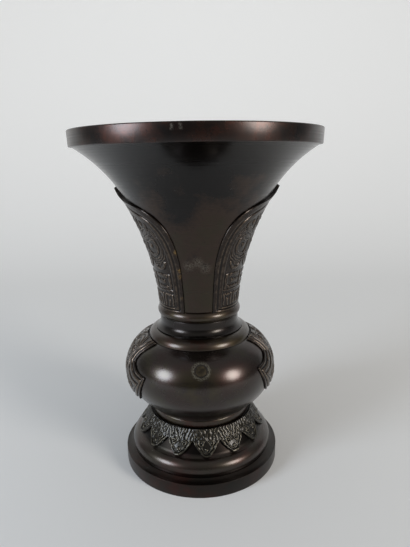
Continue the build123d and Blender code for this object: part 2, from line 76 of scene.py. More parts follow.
def linear(hex_colour):
    """Linear colour, with alpha, of an sRGB hex value."""
    channels = []
    for place in (1, 3, 5):
        value = int(hex_colour[place : place + 2], 16) / 255
        channels.append(value / 12.92 if value <= 0.04045 else ((value + 0.055) / 1.055) ** 2.4)
    return (*channels, 1.0)


def set_inputs(node, inputs):
    """Set each input of a node to a value, or link it to a socket."""
    for name, value in inputs.items():
        if isinstance(value, bpy.types.NodeSocket):
            node.id_data.links.new(value, node.inputs[name])
        else:
            node.inputs[name].default_value = value


def add_node(tree, kind, output, inputs, **settings):
    """Output of a new node of a kind, with its settings, and its inputs by name or in their order."""
    node = tree.nodes.new("ShaderNode" + kind)
    for name, value in settings.items():
        setattr(node, name, value)
    set_inputs(node, inputs if isinstance(inputs, dict) else dict(enumerate(inputs)))
    return node.outputs[output]


def lay_over(material, share, colour):
    """Lay a colour over a material's own, by a share."""
    tree = material.node_tree
    shader = tree.nodes["Principled BSDF"]
    under = shader.inputs["Base Color"].links[0].from_socket
    mixed = {"Factor": share, "A": under, "B": linear(colour)}
    set_inputs(shader, {"Base Color": add_node(tree, "Mix", "Result", mixed, data_type="RGBA")})


def waxed_metal(material, value, levels, browns, gloss, skin, wax):
    """Finish a material as bare metal under wax, with browns at levels of a value, a gloss and a skin."""
    tree = material.node_tree
    brown = add_node(tree, "ValToRGB", "Color", {"Fac": value})
    steps = brown.node.color_ramp.elements
    steps.new(levels[1])
    for step, level, colour in zip(steps, levels, browns):
        step.position = level
        step.color = linear(colour)
    normal = add_node(tree, "Bump", "Normal", skin)
    finish = {
        "Base Color": brown,
        "Metallic": 1.0,
        "Roughness": add_node(tree, "MapRange", "Result", gloss),
        "Normal": normal,
        "Coat Weight": wax[0],
        "Coat Roughness": wax[1],
        "Coat Normal": normal,
    }
    set_inputs(tree.nodes["Principled BSDF"], finish)


def patinated_bronze(name, browns, roughness, wax, cloud_mm, lines, drift=((0.0, 0.0), (1.0, 0.0))):
    """Turned bronze under a dark waxed patina: clouds of three browns, faint tool lines and dark pits.

    Wax is its weight and roughness, and lines are their spacing and depth. Drift is two
    levels in millimetres, each with how far the clouds shift there.
    """
    spacing, depth = lines
    (low, low_shift), (high, high_shift) = drift
    material = bpy.data.materials.new(name)
    material.use_nodes = True
    tree = material.node_tree
    place = add_node(tree, "TexCoord", "Object", {})
    height = add_node(tree, "SeparateXYZ", "Z", {"Vector": place})
    patches = {"Vector": place, "Scale": 1 / (cloud_mm * MM), "Detail": 8.0, "Roughness": CLOUD_ROUGHNESS}
    clouds = add_node(tree, "TexNoise", "Fac", patches)
    shift = add_node(tree, "MapRange", "Result", (height, low * MM, high * MM, low_shift, high_shift))
    drifted = add_node(tree, "Math", "Value", (clouds, shift), operation="ADD")
    rings = {"W": height, "Scale": 1 / (spacing * MM), "Detail": 3.0}
    tooling = add_node(tree, "TexNoise", "Fac", rings, noise_dimensions="1D")
    gloss = (tooling, *LINE_LEVELS, roughness - LINE_GLOSS, roughness + LINE_GLOSS)
    cut = {"Height": tooling, "Strength": LINE_STRENGTH, "Distance": depth * MM}
    waxed_metal(material, drifted, CLOUD_LEVELS, browns, gloss, cut, wax)
    specks = {"Vector": place, "Scale": 1 / (PIT_SPACING * MM), "Detail": 2.0}
    pits = add_node(tree, "TexNoise", "Fac", specks)
    lay_over(material, add_node(tree, "MapRange", "Result", (pits, *PIT_LEVELS, 0.0, PIT_SHARE)), GRIME_AND_SHADE)
    return material


def softened(profile, radius):
    """Closed profile with each corner replaced by a short curve of about a radius."""
    points = np.array(profile, float)
    rounded = []
    for here in range(len(points)):
        corner = points[here]
        ends = []
        for other in (points[here - 1], points[(here + 1) % len(points)]):
            length = np.linalg.norm(other - corner)
            ends.append(corner + (other - corner) * min(radius / length, CORNER_REACH))
        for share in CORNER_SHARES:
            first = ends[0] + (corner - ends[0]) * share
            second = corner + (ends[1] - corner) * share
            rounded.append(first + (second - first) * share)
    return rounded


def make_piece(name, vertices, faces, material, node, sharp_angle=SHARP_ANGLE):
    """Smooth mesh piece, in millimetres, that stands for a node of the solid model."""
    mesh = bpy.data.meshes.new(name)
    mesh.from_pydata([tuple(point) for point in np.asarray(vertices) * MM], [], faces)
    mesh.validate()
    mesh.materials.append(material)
    mesh.shade_smooth()
    mesh.set_sharp_from_angle(angle=sharp_angle)
    piece = bpy.data.objects.new(name, mesh)
    bpy.context.scene.collection.objects.link(piece)
    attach(piece, "root")
    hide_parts(node)
    return piece


def turned_piece(node, profile, material):
    """Piece for a node, turned about the vertical axis from a closed profile of (radius, height) points."""
    profile = np.array(profile, float)
    count = len(profile)
    vertices = []
    for step in range(TURN_STEPS):
        angle = 2 * pi * step / TURN_STEPS
        for radius, height in profile:
            vertices.append((radius * cos(angle), radius * sin(angle), height))
    faces = []
    for step in range(TURN_STEPS):
        here = step * count
        there = (step + 1) % TURN_STEPS * count
        for row in range(count):
            above = (row + 1) % count
            faces.append((here + row, there + row, there + above, here + above))
    return make_piece(node + "_turned", vertices, faces, material, node)


def arc_points(centre, radius, start, end, steps):
    """Points of a profile arc about a centre, angles in degrees from the horizontal."""
    angles = np.radians(np.linspace(start, end, steps))
    return [(centre[0] + radius * cos(angle), centre[1] + radius * sin(angle)) for angle in angles]


def bowed(start, end, bow, steps):
    """Points of a profile line from a start to an end, whose middle is moved by a bow."""
    points = []
    for share in np.linspace(0, 1, steps):
        straight = np.array(start) + (np.array(end) - np.array(start)) * share
        points.append(tuple(straight + 4 * share * (1 - share) * np.array(bow)))
    return points


plinth_profile = [
    (PLATE_BORE, PLATE_SEAT),
    (PLATE_BORE, 0.0),
    (PLINTH_RADIUS, 0.0),
    (PLINTH_RADIUS, PLINTH_HEIGHT),
    *bowed((LEDGE_OUTSIDE, PLINTH_HEIGHT), (LEDGE_INSIDE, FOOT_SEAT), (0.0, -LEDGE_HOLLOW), steps=9),
    (REGISTER_RADIUS, FOOT_SEAT),
    (REGISTER_RADIUS, REGISTER_TOP),
    (REGISTER_BORE, REGISTER_TOP),
    (REGISTER_BORE, PLATE_SEAT),
]
# Brown patina on turned bronze, rubbed by handling: a satin brown with greyer clouds.
plinth_bronze = patinated_bronze(
    "foot_bronze_brown_satin",
    ("#32170F", "#231A14", "#1C1A15"),
    roughness=0.42,
    wax=(0.45, 0.34),
    cloud_mm=22.0,
    lines=FINE_LINES,
)
turned_piece("plinth_ring", softened(plinth_profile, radius=0.5), plinth_bronze)

# Base plate and solders: a plain bronze disc let into the plinth ring from below, left as it was cast.
# It keeps its own solid, and so do the three fillets of soft solder that seal the joints.
# Bare cast bronze gone dull: a matt brown with a coarse skin.
base_bronze = patinated_bronze(
    "base_bronze_as_cast",
    ("#3E3022", "#4A3A28", "#6A5438"),
    roughness=0.55,
    wax=(0.1, 0.5),
    cloud_mm=9.0,
    lines=(1.5, 0.012),
)
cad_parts["base_plate"].material_slots[0].material = base_bronze
# Soft tin solder wiped along a joint: a dull grey with a grain.
soft_solder = patinated_bronze(
    "tin_solder_wiped",
    ("#6A6B6D", "#77787A", "#9A9B9C"),
    roughness=0.5,
    wax=(0.0, 0.5),
    cloud_mm=3.0,
    lines=(1.0, 0.012),
)
for solder_node in ("base_plate_solder", "waist_solder", "neck_solder"):
    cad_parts[solder_node].material_slots[0].material = soft_solder

# Foot: a cast and turned bronze cone that swells into a large round moulding above the plinth ring.
# It stands over the plinth ring's register and takes the belly's spigot in a socket at its top.
MOULDING_RADIUS = 52.6
MOULDING_ROUND = 7.4
MOULDING_LIFT = 3.8
MOULDING_START = -30.9
MOULDING_WRAP = 84.0
HOLLOW_ROUND = 5.0
FOOT_BORE = REGISTER_RADIUS + JOINT_GAP
FOOT_INNER_CORNER = (42.3, 22.56)
FOOT_TOP = 39.2
FOOT_TOP_RADIUS = 36.6
SOCKET_BORE = 33.55
SOCKET_DEPTH = 5.0
moulding_centre = (MOULDING_RADIUS - MOULDING_ROUND, FOOT_SEAT + MOULDING_LIFT)
valley = arc_points(moulding_centre, MOULDING_ROUND, MOULDING_WRAP, MOULDING_WRAP, steps=1)[0]
cone_length = sqrt((valley[0] - FOOT_TOP_RADIUS) ** 2 + (FOOT_TOP - valley[1]) ** 2)
cone_along = ((FOOT_TOP_RADIUS - valley[0]) / cone_length, (FOOT_TOP - valley[1]) / cone_length)
# A soft hollow runs from the moulding into the cone: an arc that touches both.
to_valley = np.array(valley) - np.array(moulding_centre)
along_part = float(to_valley @ cone_along)
out_part = float(to_valley @ (cone_along[1], -cone_along[0]))
hollow_rise = sqrt(along_part**2 + 2 * HOLLOW_ROUND * (MOULDING_ROUND - out_part)) - along_part
hollow_centre = (
    valley[0] + hollow_rise * cone_along[0] + HOLLOW_ROUND * cone_along[1],
    valley[1] + hollow_rise * cone_along[1] - HOLLOW_ROUND * cone_along[0],
)
hollow_turn = degrees(atan2(hollow_centre[1] - moulding_centre[1], hollow_centre[0] - moulding_centre[0]))
cone_turn = degrees(atan2(-cone_along[0], cone_along[1]))
foot_profile = [
    (FOOT_BORE, FOOT_SEAT),
    *arc_points(moulding_centre, MOULDING_ROUND, MOULDING_START, hollow_turn, steps=32),
    *arc_points(hollow_centre, HOLLOW_ROUND, hollow_turn + 180, cone_turn + 180, steps=12)[1:],
    (FOOT_TOP_RADIUS, FOOT_TOP),
    (SOCKET_BORE, FOOT_TOP),
    (SOCKET_BORE, FOOT_TOP - SOCKET_DEPTH),
    FOOT_INNER_CORNER,
    (FOOT_BORE, REGISTER_TOP + JOINT_GAP),
]


def dulled_and_shaded(material, low, high, wax, painted_shade):
    """Fade a material between two levels to duller wax and to a share of painted shade over its colour."""
    tree = material.node_tree
    shader = tree.nodes["Principled BSDF"]
    place = add_node(tree, "TexCoord", "Object", {})
    height = add_node(tree, "SeparateXYZ", "Z", {"Vector": place})
    polished = [shader.inputs[name].default_value for name in ("Coat Weight", "Coat Roughness")]
    fades = []
    for start, end in zip((*polished, 0.0), (*wax, painted_shade)):
        fades.append(add_node(tree, "MapRange", "Result", (height, low * MM, high * MM, start, end)))
    set_inputs(shader, {"Coat Weight": fades[0], "Coat Roughness": fades[1]})
    # Painted shade: the dark colour is laid over by a share that grows between the two levels.
    lay_over(material, fades[2], GRIME_AND_SHADE)


# Brown patina polished on the moulding, where it mirrors the room softly, and duller on the cone, where
# painted shade darkens it between the petals.
foot_bronze = patinated_bronze(
    "foot_bronze_brown_polished",
    ("#3A1C13", "#2E221A", "#2B2619"),
    roughness=0.36,
    wax=(0.85, 0.26),
    cloud_mm=22.0,
    lines=FINE_LINES,
)
# Painted shade darkens the cone between the petals from 22 mm up, fully from 25 mm, and its wax dulls
# there.
dulled_and_shaded(foot_bronze, low=22.0, high=25.0, wax=(0.12, 0.4), painted_shade=0.9)
turned_piece("foot", softened(foot_profile, radius=0.4), foot_bronze)

# Petal skirt: a collar of pointed petals cast in relief, chased by hand and sweated onto the foot's cone.
# Each petal has a raised double edge, upright flutes above and a hollow, dark with grime and painted shade,
# with a boss near its tip.
PETAL_COUNT = 14
PETAL_TURN = 5.3
PETAL_TIP = 0.4
PETAL_TOP = 0.5
PETAL_GAP = 10.4
PETAL_SEAM = 0.03
PETAL_BED = 0.2
PETAL_THICKNESS = 1.1
PETAL_COLUMNS = 72
PETAL_ROWS = 84
# Shares of the full width: at the tip, gained evenly up to the gap's top, and gained as a bulge.
PETAL_WIDENING = (0.06, 0.62, 0.32)
# Each raised edge's distance inwards, width and height, and where and over what length they fade out.
PETAL_EDGES = ((0.8, 1.6, 1.0), (2.5, 1.1, 0.7))
EDGE_NARROWING = 0.82
EDGE_FADE = 3.0
EDGE_FADE_LENGTH = 6.0
FLUTE_PITCH = 2.3
FLUTE_HEIGHT = 0.55
FLUTE_SHARPNESS = 0.7
FLUTE_LEAN = 0.14
FLUTE_LEVEL = 8.0
FLUTE_SWAY = 0.5
FLUTE_SWAY_LENGTH = 1.7
FLUTE_START = 7.6
FLUTE_START_LENGTH = 3.0
FLUTE_INSET = 1.0
FLUTE_SPREAD = 4.0
TIP_BOSS_RISE = 4.4
TIP_BOSS_WIDTH = 2.4
TIP_BOSS_HEIGHT = 1.1
TIP_BOSS_CLEAR = 1.2
# Each hollow's place, half sizes, where its rim ends and its depth.
TIP_HOLLOW = ((0.0, 4.8), (2.6, 2.2), 1.3, 0.8)
SIDE_SLOT = ((1.5, 7.0), (0.8, 2.1), 1.2, 0.9)
# Place of an eye, and its ring and pupil by radius, width and height.
EYE_PLACE = (3.4, 9.0)
EYE_RINGS = ((1.7, 1.2, 1.0), (0.0, 1.4, 0.9))
STROKE_COUNT = 14
STROKE_RISE = (10.0, 17.5)
STROKE_REACH = 7.5
STROKE_LEAN = 0.4
STROKE_LENGTH = (0.5, 3.0)
STROKE_WIDTH = (1.1, 2.0)
STROKE_HEIGHT = (0.5, 0.9)
WEAR_LOSS = 0.2
WEAR_WAVES = (2.3, 3.1)
# How far tip and bed lift off the cone, and over what length.
TIP_LIFT = (0.7, 6.0)
BED_LIFT = (0.5, 2.2)
# Lengths of the waves by which a chasing hand wanders, and how far it does on a petal.
HAND_WAVES = (3.2, 5.7, 10.5)
PETAL_HAND = 0.5
PETAL_SEED = 20
CHASING_SEED = 7
RELIEF_WAX = (0.5, 0.2)
RELIEF_LEVELS = (0.35, 0.72, 1.0)
RUBBED_LEVELS = (0.4, 1.0)
# The cast skin's real grain is too fine to show, so it is drawn coarser.
RELIEF_GRAIN = 2.2
RELIEF_GRAIN_SHARE = 0.5
RELIEF_GRAIN_STRENGTH = 0.4
RELIEF_GRAIN_DEPTH = 0.2
RELIEF_DULLING = 0.2
RELIEF_SHARP_ANGLE = radians(80)
# The relief value is a cavity measure. Hollows take a dark colour of grime and painted shade, and ridges a
# light one of wear and painted highlight.
CAVITY_PASSES = 14
FLAT_SHADE = 0.45
PETAL_CONTRAST = 1.2


def worn_and_shaded_relief(name, hollow, ground, worn_and_highlight, roughness):
    """Cast relief in waxed bronze, by its own relief value: hollows dark with grime and painted shade,
    brown ground, ridges light with rubbing and painted highlight.
    """
    material = bpy.data.materials.new(name)
    material.use_nodes = True
    tree = material.node_tree
    place = add_node(tree, "TexCoord", "Object", {})
    relief = add_node(tree, "Attribute", "Fac", {}, attribute_name="relief")
    specks = {"Vector": place, "Scale": 1 / (RELIEF_GRAIN * MM), "Detail": 5.0}
    grain = add_node(tree, "TexNoise", "Fac", specks)
    wear_and_shade_value = add_node(tree, "Math", "Value", (grain, RELIEF_GRAIN_SHARE, relief), operation="MULTIPLY_ADD")
    gloss = (wear_and_shade_value, *RUBBED_LEVELS, roughness + RELIEF_DULLING, roughness)
    skin = {"Height": grain, "Strength": RELIEF_GRAIN_STRENGTH, "Distance": RELIEF_GRAIN_DEPTH * MM}
    # Painted shade in hollows and painted highlight on ridges, together with grime and wear, by the relief
    # value.
    waxed_metal(material, wear_and_shade_value, RELIEF_LEVELS, (hollow, ground, worn_and_highlight), gloss, skin, RELIEF_WAX)
    return material


def ridge(distance, width, height):
    """Height of a round-backed ridge of a given width at a distance from its middle line."""
    return height * np.sqrt(np.clip(1 - (2 * distance / width) ** 2, 0, 1))


def sunk(across, up, place, halves, rim, depth):
    """Depth of an oval hollow about a place, by its half sizes and where its rim ends."""
    reach = np.hypot((across - place[0]) / halves[0], (up - place[1]) / halves[1])
    return depth * np.clip(rim - reach, 0, 1)


def grid_faces(rows, columns, start, flip):
    """Quads of a grid of points laid out row by row."""
    faces = []
    for row in range(rows - 1):
        for column in range(columns - 1):
            low = start + row * columns + column
            quad = (low, low + 1, low + columns + 1, low + columns)
            faces.append(quad[::-1] if flip else quad)
    return faces


def plate_mesh(outer, inner):
    """Points and faces of a closed plate between two grids of points, shaped (rows, columns, 3)."""
    rows, columns = outer.shape[:2]
    vertices = np.concatenate([outer.reshape(-1, 3), inner.reshape(-1, 3)])
    back = rows * columns
    faces = grid_faces(rows, columns, 0, False) + grid_faces(rows, columns, back, True)
    bottom = [(0, column) for column in range(columns)]
    right = [(row, columns - 1) for row in range(1, rows)]
    top = [(rows - 1, column) for column in range(columns - 2, -1, -1)]
    left = [(row, 0) for row in range(rows - 2, 0, -1)]
    loop = [row * columns + column for row, column in bottom + right + top + left]
    for here, there in zip(loop, loop[1:] + loop[:1]):
        faces.append((there, here, here + back, there + back))
    return vertices, faces


def relief_shade(height, contrast):
    """Relief value of each point of a plate, painted as shade in hollows and highlight on ridges: lowest in
    hollows, highest on ridges, and between on flats.
    """
    around = height
    for _ in range(CAVITY_PASSES):
        padded = np.pad(around, 1, mode="edge")
        sides = padded[:-2, 1:-1] + padded[2:, 1:-1] + padded[1:-1, :-2] + padded[1:-1, 2:]
        around = (around + sides) / 5
    shade = np.clip(FLAT_SHADE + contrast * (height - around), 0, 1).reshape(-1)
    return np.concatenate([shade, 0 * shade + FLAT_SHADE])


def set_relief(piece, values):
    """Store each point's relief value for the material."""
    piece.data.attributes.new("relief", "FLOAT", "POINT").data.foreach_set("value", values)


def hand_cut(across, up, seed, reach):
    """Places on a plate shifted a little in smooth waves, so that what is drawn there looks cut by hand."""
    draw = np.random.default_rng(seed)
    shifts = []
    for _ in range(2):
        shift = 0.0
        for wave in HAND_WAVES:
            turn, phase = draw.uniform(0, 2 * pi, 2)
            shift = shift + np.sin(2 * pi * (across * cos(turn) + up * sin(turn)) / wave + phase)
        shifts.append(reach * shift / len(HAND_WAVES))
    return across + shifts[0], up + shifts[1]


def eased(value):
    """Smooth step from 0 to 1 as a value goes from 0 to 1."""
    share = np.clip(value, 0, 1)
    return share * share * (3 - 2 * share)


def line_distance(points, across, up):
    """Distance of each place on a plate from a chain of straight lines."""
    nearest = np.full(across.shape, np.inf)
    for start, end in zip(points[:-1], points[1:]):
        step = (end[0] - start[0], end[1] - start[1])
        length = step[0] ** 2 + step[1] ** 2
        share = np.clip(((across - start[0]) * step[0] + (up - start[1]) * step[1]) / length, 0, 1)
        gap = np.hypot(across - start[0] - share * step[0], up - start[1] - share * step[1])
        nearest = np.minimum(nearest, gap)
    return nearest


def chased_petal(petal, across, up, rise, half_width, chasing):
    """Height of a petal's edges, flutes, boss, eyes and chased strokes over its field."""
    narrowing = np.where(rise < PETAL_GAP, EDGE_NARROWING, 1.0)
    edge = np.minimum(half_width - np.abs(across), up) * narrowing
    fade = eased((PETAL_GAP + EDGE_FADE - rise) / EDGE_FADE_LENGTH)
    height = 0 * across
    for inwards, width, lift in PETAL_EDGES:
        height = np.maximum(height, ridge(np.abs(edge - inwards), width, lift) * fade)
    sway = FLUTE_SWAY * np.sin(up / FLUTE_SWAY_LENGTH + petal)
    leaning = np.abs(across) - FLUTE_LEAN * (up - FLUTE_LEVEL) + sway
    flutes = FLUTE_HEIGHT * np.abs(np.cos(pi * leaning / FLUTE_PITCH)) ** FLUTE_SHARPNESS
    flutes = flutes * eased((up - FLUTE_START) / FLUTE_START_LENGTH)
    height = np.maximum(height, flutes * eased(edge - FLUTE_INSET + FLUTE_SPREAD * (1 - fade)))
    from_boss = np.hypot(across, up - TIP_BOSS_RISE)
    height = np.maximum(height, ridge(from_boss, TIP_BOSS_WIDTH, TIP_BOSS_HEIGHT))
    height = height - sunk(across, up, *TIP_HOLLOW) * (from_boss > TIP_BOSS_CLEAR)
    for side in (-1, 1):
        from_eye = np.hypot(across - side * EYE_PLACE[0], up - EYE_PLACE[1])
        for radius, width, lift in EYE_RINGS:
            height = np.maximum(height, ridge(np.abs(from_eye - radius), width, lift))
        height = height - sunk(side * across, up, *SIDE_SLOT)
    for _ in range(STROKE_COUNT):
        stroke_up = chasing.uniform(*STROKE_RISE)
        stroke_across = chasing.uniform(-STROKE_REACH, STROKE_REACH)
        lean = chasing.normal(0.0, STROKE_LEAN)
        half_length = chasing.uniform(*STROKE_LENGTH) / 2
        step = (half_length * sin(lean), half_length * cos(lean))
        start = (stroke_across - step[0], stroke_up - step[1])
        end = (stroke_across + step[0], stroke_up + step[1])
        stroke = line_distance([start, end], across, up)
        width = chasing.uniform(*STROKE_WIDTH)
        height = np.maximum(height, ridge(stroke, width, chasing.uniform(*STROKE_HEIGHT)))
    waves = np.sin(across / WEAR_WAVES[0] + petal) * np.sin(up / WEAR_WAVES[1] + 2 * petal)
    return height * (1 - WEAR_LOSS + WEAR_LOSS * waves)


petal_length = cone_length - PETAL_TOP - PETAL_TIP
petal_pitch = 2 * pi / PETAL_COUNT
petal_rise = petal_length * np.linspace(0, 1, PETAL_ROWS)[:, None]
petal_along = PETAL_TIP + petal_rise
cone_radius = valley[0] + petal_along * cone_along[0]
opening = np.clip(petal_rise / PETAL_GAP, 0, 1)
bulge = np.sqrt(opening * (2 - opening))
width_share = PETAL_WIDENING[0] + PETAL_WIDENING[1] * opening + PETAL_WIDENING[2] * bulge
petal_half_width = (cone_radius * petal_pitch / 2 - PETAL_SEAM) * width_share
petal_sideways = np.linspace(-1, 1, PETAL_COLUMNS)[None, :] * petal_half_width
tip_lift = TIP_LIFT[0] * np.clip(1 - petal_rise / TIP_LIFT[1], 0, 1) ** 2
bed_lift = BED_LIFT[0] * np.clip(1 - petal_rise / BED_LIFT[1], 0, 1) ** 2
petal_vertices = []
petal_faces = []
petal_relief = []
petal_points = 0
petal_chasing = np.random.default_rng(CHASING_SEED)
for petal in range(PETAL_COUNT):
    across, up = hand_cut(petal_sideways, petal_rise + 0 * petal_sideways, PETAL_SEED + petal, PETAL_HAND)
    height = chased_petal(petal, across, up, petal_rise, petal_half_width, petal_chasing)
    azimuth = radians(PETAL_TURN) + petal * petal_pitch + petal_sideways / cone_radius
    grids = []
    for out in (PETAL_BED + PETAL_THICKNESS + height + tip_lift, PETAL_BED + bed_lift + 0 * height):
        radius = cone_radius + out * cone_along[1]
        level = valley[1] + petal_along * cone_along[1] - out * cone_along[0]
        grids.append(np.stack([radius * np.sin(azimuth), -radius * np.cos(azimuth), level], axis=-1))
    vertices, faces = plate_mesh(*grids)
    petal_faces += [tuple(index + petal_points for index in face) for face in faces]
    petal_points += len(vertices)
    petal_vertices.append(vertices)
    petal_relief.append(relief_shade(height, PETAL_CONTRAST))
# Grey olive patina, dark in the chasing with grime and painted shade, and edges lighter with rubbing and
# painted highlight.
petal_bronze = worn_and_shaded_relief(
    "petal_bronze_chased_and_shaded", hollow="#090806", ground="#23201A", worn_and_highlight="#585346", roughness=0.36
)
petal_piece = make_piece(
    "petal_skirt",
    np.concatenate(petal_vertices),
    petal_faces,
    petal_bronze,
    "lappet_collar",
    RELIEF_SHARP_ANGLE,
)
set_relief(petal_piece, np.concatenate(petal_relief))

# Waist ring: a plain turned bronze ring round the belly's spigot, with its edges eased.
# It is clamped between foot and belly.
WAIST_RING_RADIUS = 36.3
BELLY_SEAT = 44.6
waist_profile = [
    (SOCKET_BORE, FOOT_TOP),
    (WAIST_RING_RADIUS, FOOT_TOP),
    (WAIST_RING_RADIUS, BELLY_SEAT),
    (SOCKET_BORE, BELLY_SEAT),
]
# Brown patina on turned rings: a warm satin that catches a thin line of light.
moulding_bronze = patinated_bronze(
    "ring_bronze_brown_satin",
    ("#3A2015", "#32271D", "#3A311C"),
    roughness=0.42,
    wax=(0.8, 0.25),
    cloud_mm=16.0,
    lines=FINE_LINES,
)
turned_piece("waist_ring", softened(waist_profile, radius=0.9), moulding_bronze)

# Belly: the swollen bulb, cast in bronze with a hollow-sided collar, then turned and patinated.
# Its spigot goes down through the waist ring into the foot, and its collar takes the trumpet's spigot.
WAIST_RADIUS = 36.4
BELLY_MIDDLE = 73.0
UPPER_CENTRE = 27.7
UPPER_CURVE = 26.1
LOWER_CENTRE = 27.2
LOWER_CURVE = 26.6
LOWER_TURN = 45
BELLY_WALL = 3.0
SPIGOT_RADIUS = SOCKET_BORE - JOINT_GAP
SPIGOT_BORE = 30.5
SPIGOT_SHOULDER = 42.9
SPIGOT_FOOT = 32.0
COLLAR_ROOT = 31.0
COLLAR_LIP = 31.6
COLLAR_FOOT = 104.3
COLLAR_RADIUS = 28.2
COLLAR_CURVE = 5.7
COLLAR_CURVE_TOP = 109.5
COLLAR_CURVE_DROP = 4.9
COLLAR_STATIONS = 9
COLLAR_TOP = 113.6
COLLAR_BORE = 25.45
PLUG_PLACE = (1.19, -48.49, 88.7)
PLUG_JOINT = 3.9
HALO_RADIUS = 5.2
RUN_PLACE = (-0.81, -51.49, 80.7)
STAIN_LEVELS = (0.4, 0.62)


def stain(material, centres, radius, width, colour, strength, grain_mm):
    """Blots or rings of another colour on a material, broken by a grain, about places in millimetres."""
    tree = material.node_tree
    place = add_node(tree, "TexCoord", "Object", {})
    specks = {"Vector": place, "Scale": 1 / (grain_mm * MM), "Detail": 4.0}
    grain = add_node(tree, "TexNoise", "Fac", specks)
    broken = add_node(tree, "MapRange", "Result", (grain, *STAIN_LEVELS, 0.0, 1.0))
    for centre in centres:
        reach = add_node(tree, "VectorMath", "Value", (place, Vector(centre) * MM), operation="DISTANCE")
        past = add_node(tree, "Math", "Value", (reach, radius * MM), operation="SUBTRACT")
        away = add_node(tree, "Math", "Value", (past,), operation="ABSOLUTE")
        fading = (away, 0.0, width * MM, strength, 0.0)
        near = add_node(tree, "MapRange", "Result", fading, interpolation_type="SMOOTHSTEP")
        lay_over(material, add_node(tree, "Math", "Value", (near, broken), operation="MULTIPLY"), colour)


inner_curve = UPPER_CURVE - BELLY_WALL
root_run = COLLAR_ROOT - UPPER_CENTRE
bore_run = COLLAR_BORE - UPPER_CENTRE
upper_end = degrees(atan2(sqrt(UPPER_CURVE**2 - root_run**2), root_run))
inner_end = degrees(atan2(sqrt(inner_curve**2 - bore_run**2), bore_run))
collar_side = []
for drop in np.linspace(COLLAR_CURVE_DROP, 0, COLLAR_STATIONS):
    spread = COLLAR_CURVE - sqrt(COLLAR_CURVE**2 - drop**2)
    collar_side.append((COLLAR_RADIUS + spread, COLLAR_CURVE_TOP - drop))
belly_profile = [
    (SPIGOT_RADIUS, BELLY_SEAT),
    (WAIST_RADIUS, BELLY_SEAT),
    *arc_points((LOWER_CENTRE, BELLY_MIDDLE), LOWER_CURVE, -LOWER_TURN, 0, steps=40)[:-1],
    *arc_points((UPPER_CENTRE, BELLY_MIDDLE), UPPER_CURVE, 0, upper_end, steps=64),
    (COLLAR_ROOT, COLLAR_FOOT),
    (COLLAR_LIP, COLLAR_FOOT),
    *collar_side,
    (COLLAR_RADIUS, COLLAR_TOP),
    (COLLAR_BORE, COLLAR_TOP),
    *arc_points((UPPER_CENTRE, BELLY_MIDDLE), inner_curve, inner_end, 0, steps=40)[:-1],
    *arc_points((LOWER_CENTRE, BELLY_MIDDLE), LOWER_CURVE - BELLY_WALL, 0, -LOWER_TURN, steps=30),
    (SPIGOT_BORE, SPIGOT_SHOULDER),
    (SPIGOT_BORE, SPIGOT_FOOT),
    (SPIGOT_RADIUS, SPIGOT_FOOT),
]
# Dark brown patina waxed and rubbed to a polish: soft bright patches where it mirrors the lights.
belly_bronze = patinated_bronze(
    "belly_bronze_dark_polished",
    ("#2A1610", "#281D16", "#2D2710"),
    roughness=0.32,
    wax=(0.98, 0.225),
    cloud_mm=24.0,
    lines=(0.9, 0.012),
)
# An olive stain that ran down from the plug, a pale ring of salts about it, and its dark joint.
stain(belly_bronze, [RUN_PLACE], radius=0.0, width=22.0, colour="#3A300F", strength=0.75, grain_mm=9.0)
stain(belly_bronze, [PLUG_PLACE], HALO_RADIUS, width=1.9, colour="#848070", strength=0.9, grain_mm=0.7)
stain(belly_bronze, [PLUG_PLACE], PLUG_JOINT, width=0.7, colour=GRIME_AND_SHADE, strength=3.0, grain_mm=0.7)
# The hollow collar is duller than the belly, and painted shade darkens it, starting at 97 mm and full from
# 104 mm.
dulled_and_shaded(belly_bronze, low=97.0, high=104.0, wax=(0.6, 0.25), painted_shade=0.65)
turned_piece("belly", softened(belly_profile, radius=0.3), belly_bronze)

# Core plugs: round bronze plugs in the holes of the casting core's pins, dressed flush with the belly.
# They keep their own solids.
# Bronze of another melt that took less patina: a dull olive brown.
plug_bronze = patinated_bronze(
    "plug_bronze_dull",
    ("#2A251C", "#3C3528", "#544A38"),
    roughness=0.42,
    wax=(0.3, 0.35),
    cloud_mm=2.5,
    lines=(1.2, 0.012),
)
for plug_node in ("core_plug_front", "core_plug_back"):
    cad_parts[plug_node].material_slots[0].material = plug_bronze

# Shoulder ring: a half-round ring turned in bronze, of the same brown as the other rings.
# It is bedded in the corner between the collar and the belly's shoulder.
RING_EDGE = (37.2, 97.4)
RING_CROWN = (31.55, 103.5)
RING_BOW = (1.095, 1.02)
RING_BED_TURNS = (82.6, 68.7)
ring_bed = UPPER_CURVE + JOINT_GAP
ring_profile = [
    *arc_points((UPPER_CENTRE, BELLY_MIDDLE), ring_bed, *RING_BED_TURNS, steps=8)[:-1],
    *bowed(RING_EDGE, RING_CROWN, RING_BOW, steps=14),
    (COLLAR_ROOT + JOINT_GAP, RING_CROWN[1]),
]
turned_piece("shoulder_ring", softened(ring_profile, radius=0.25), moulding_bronze)

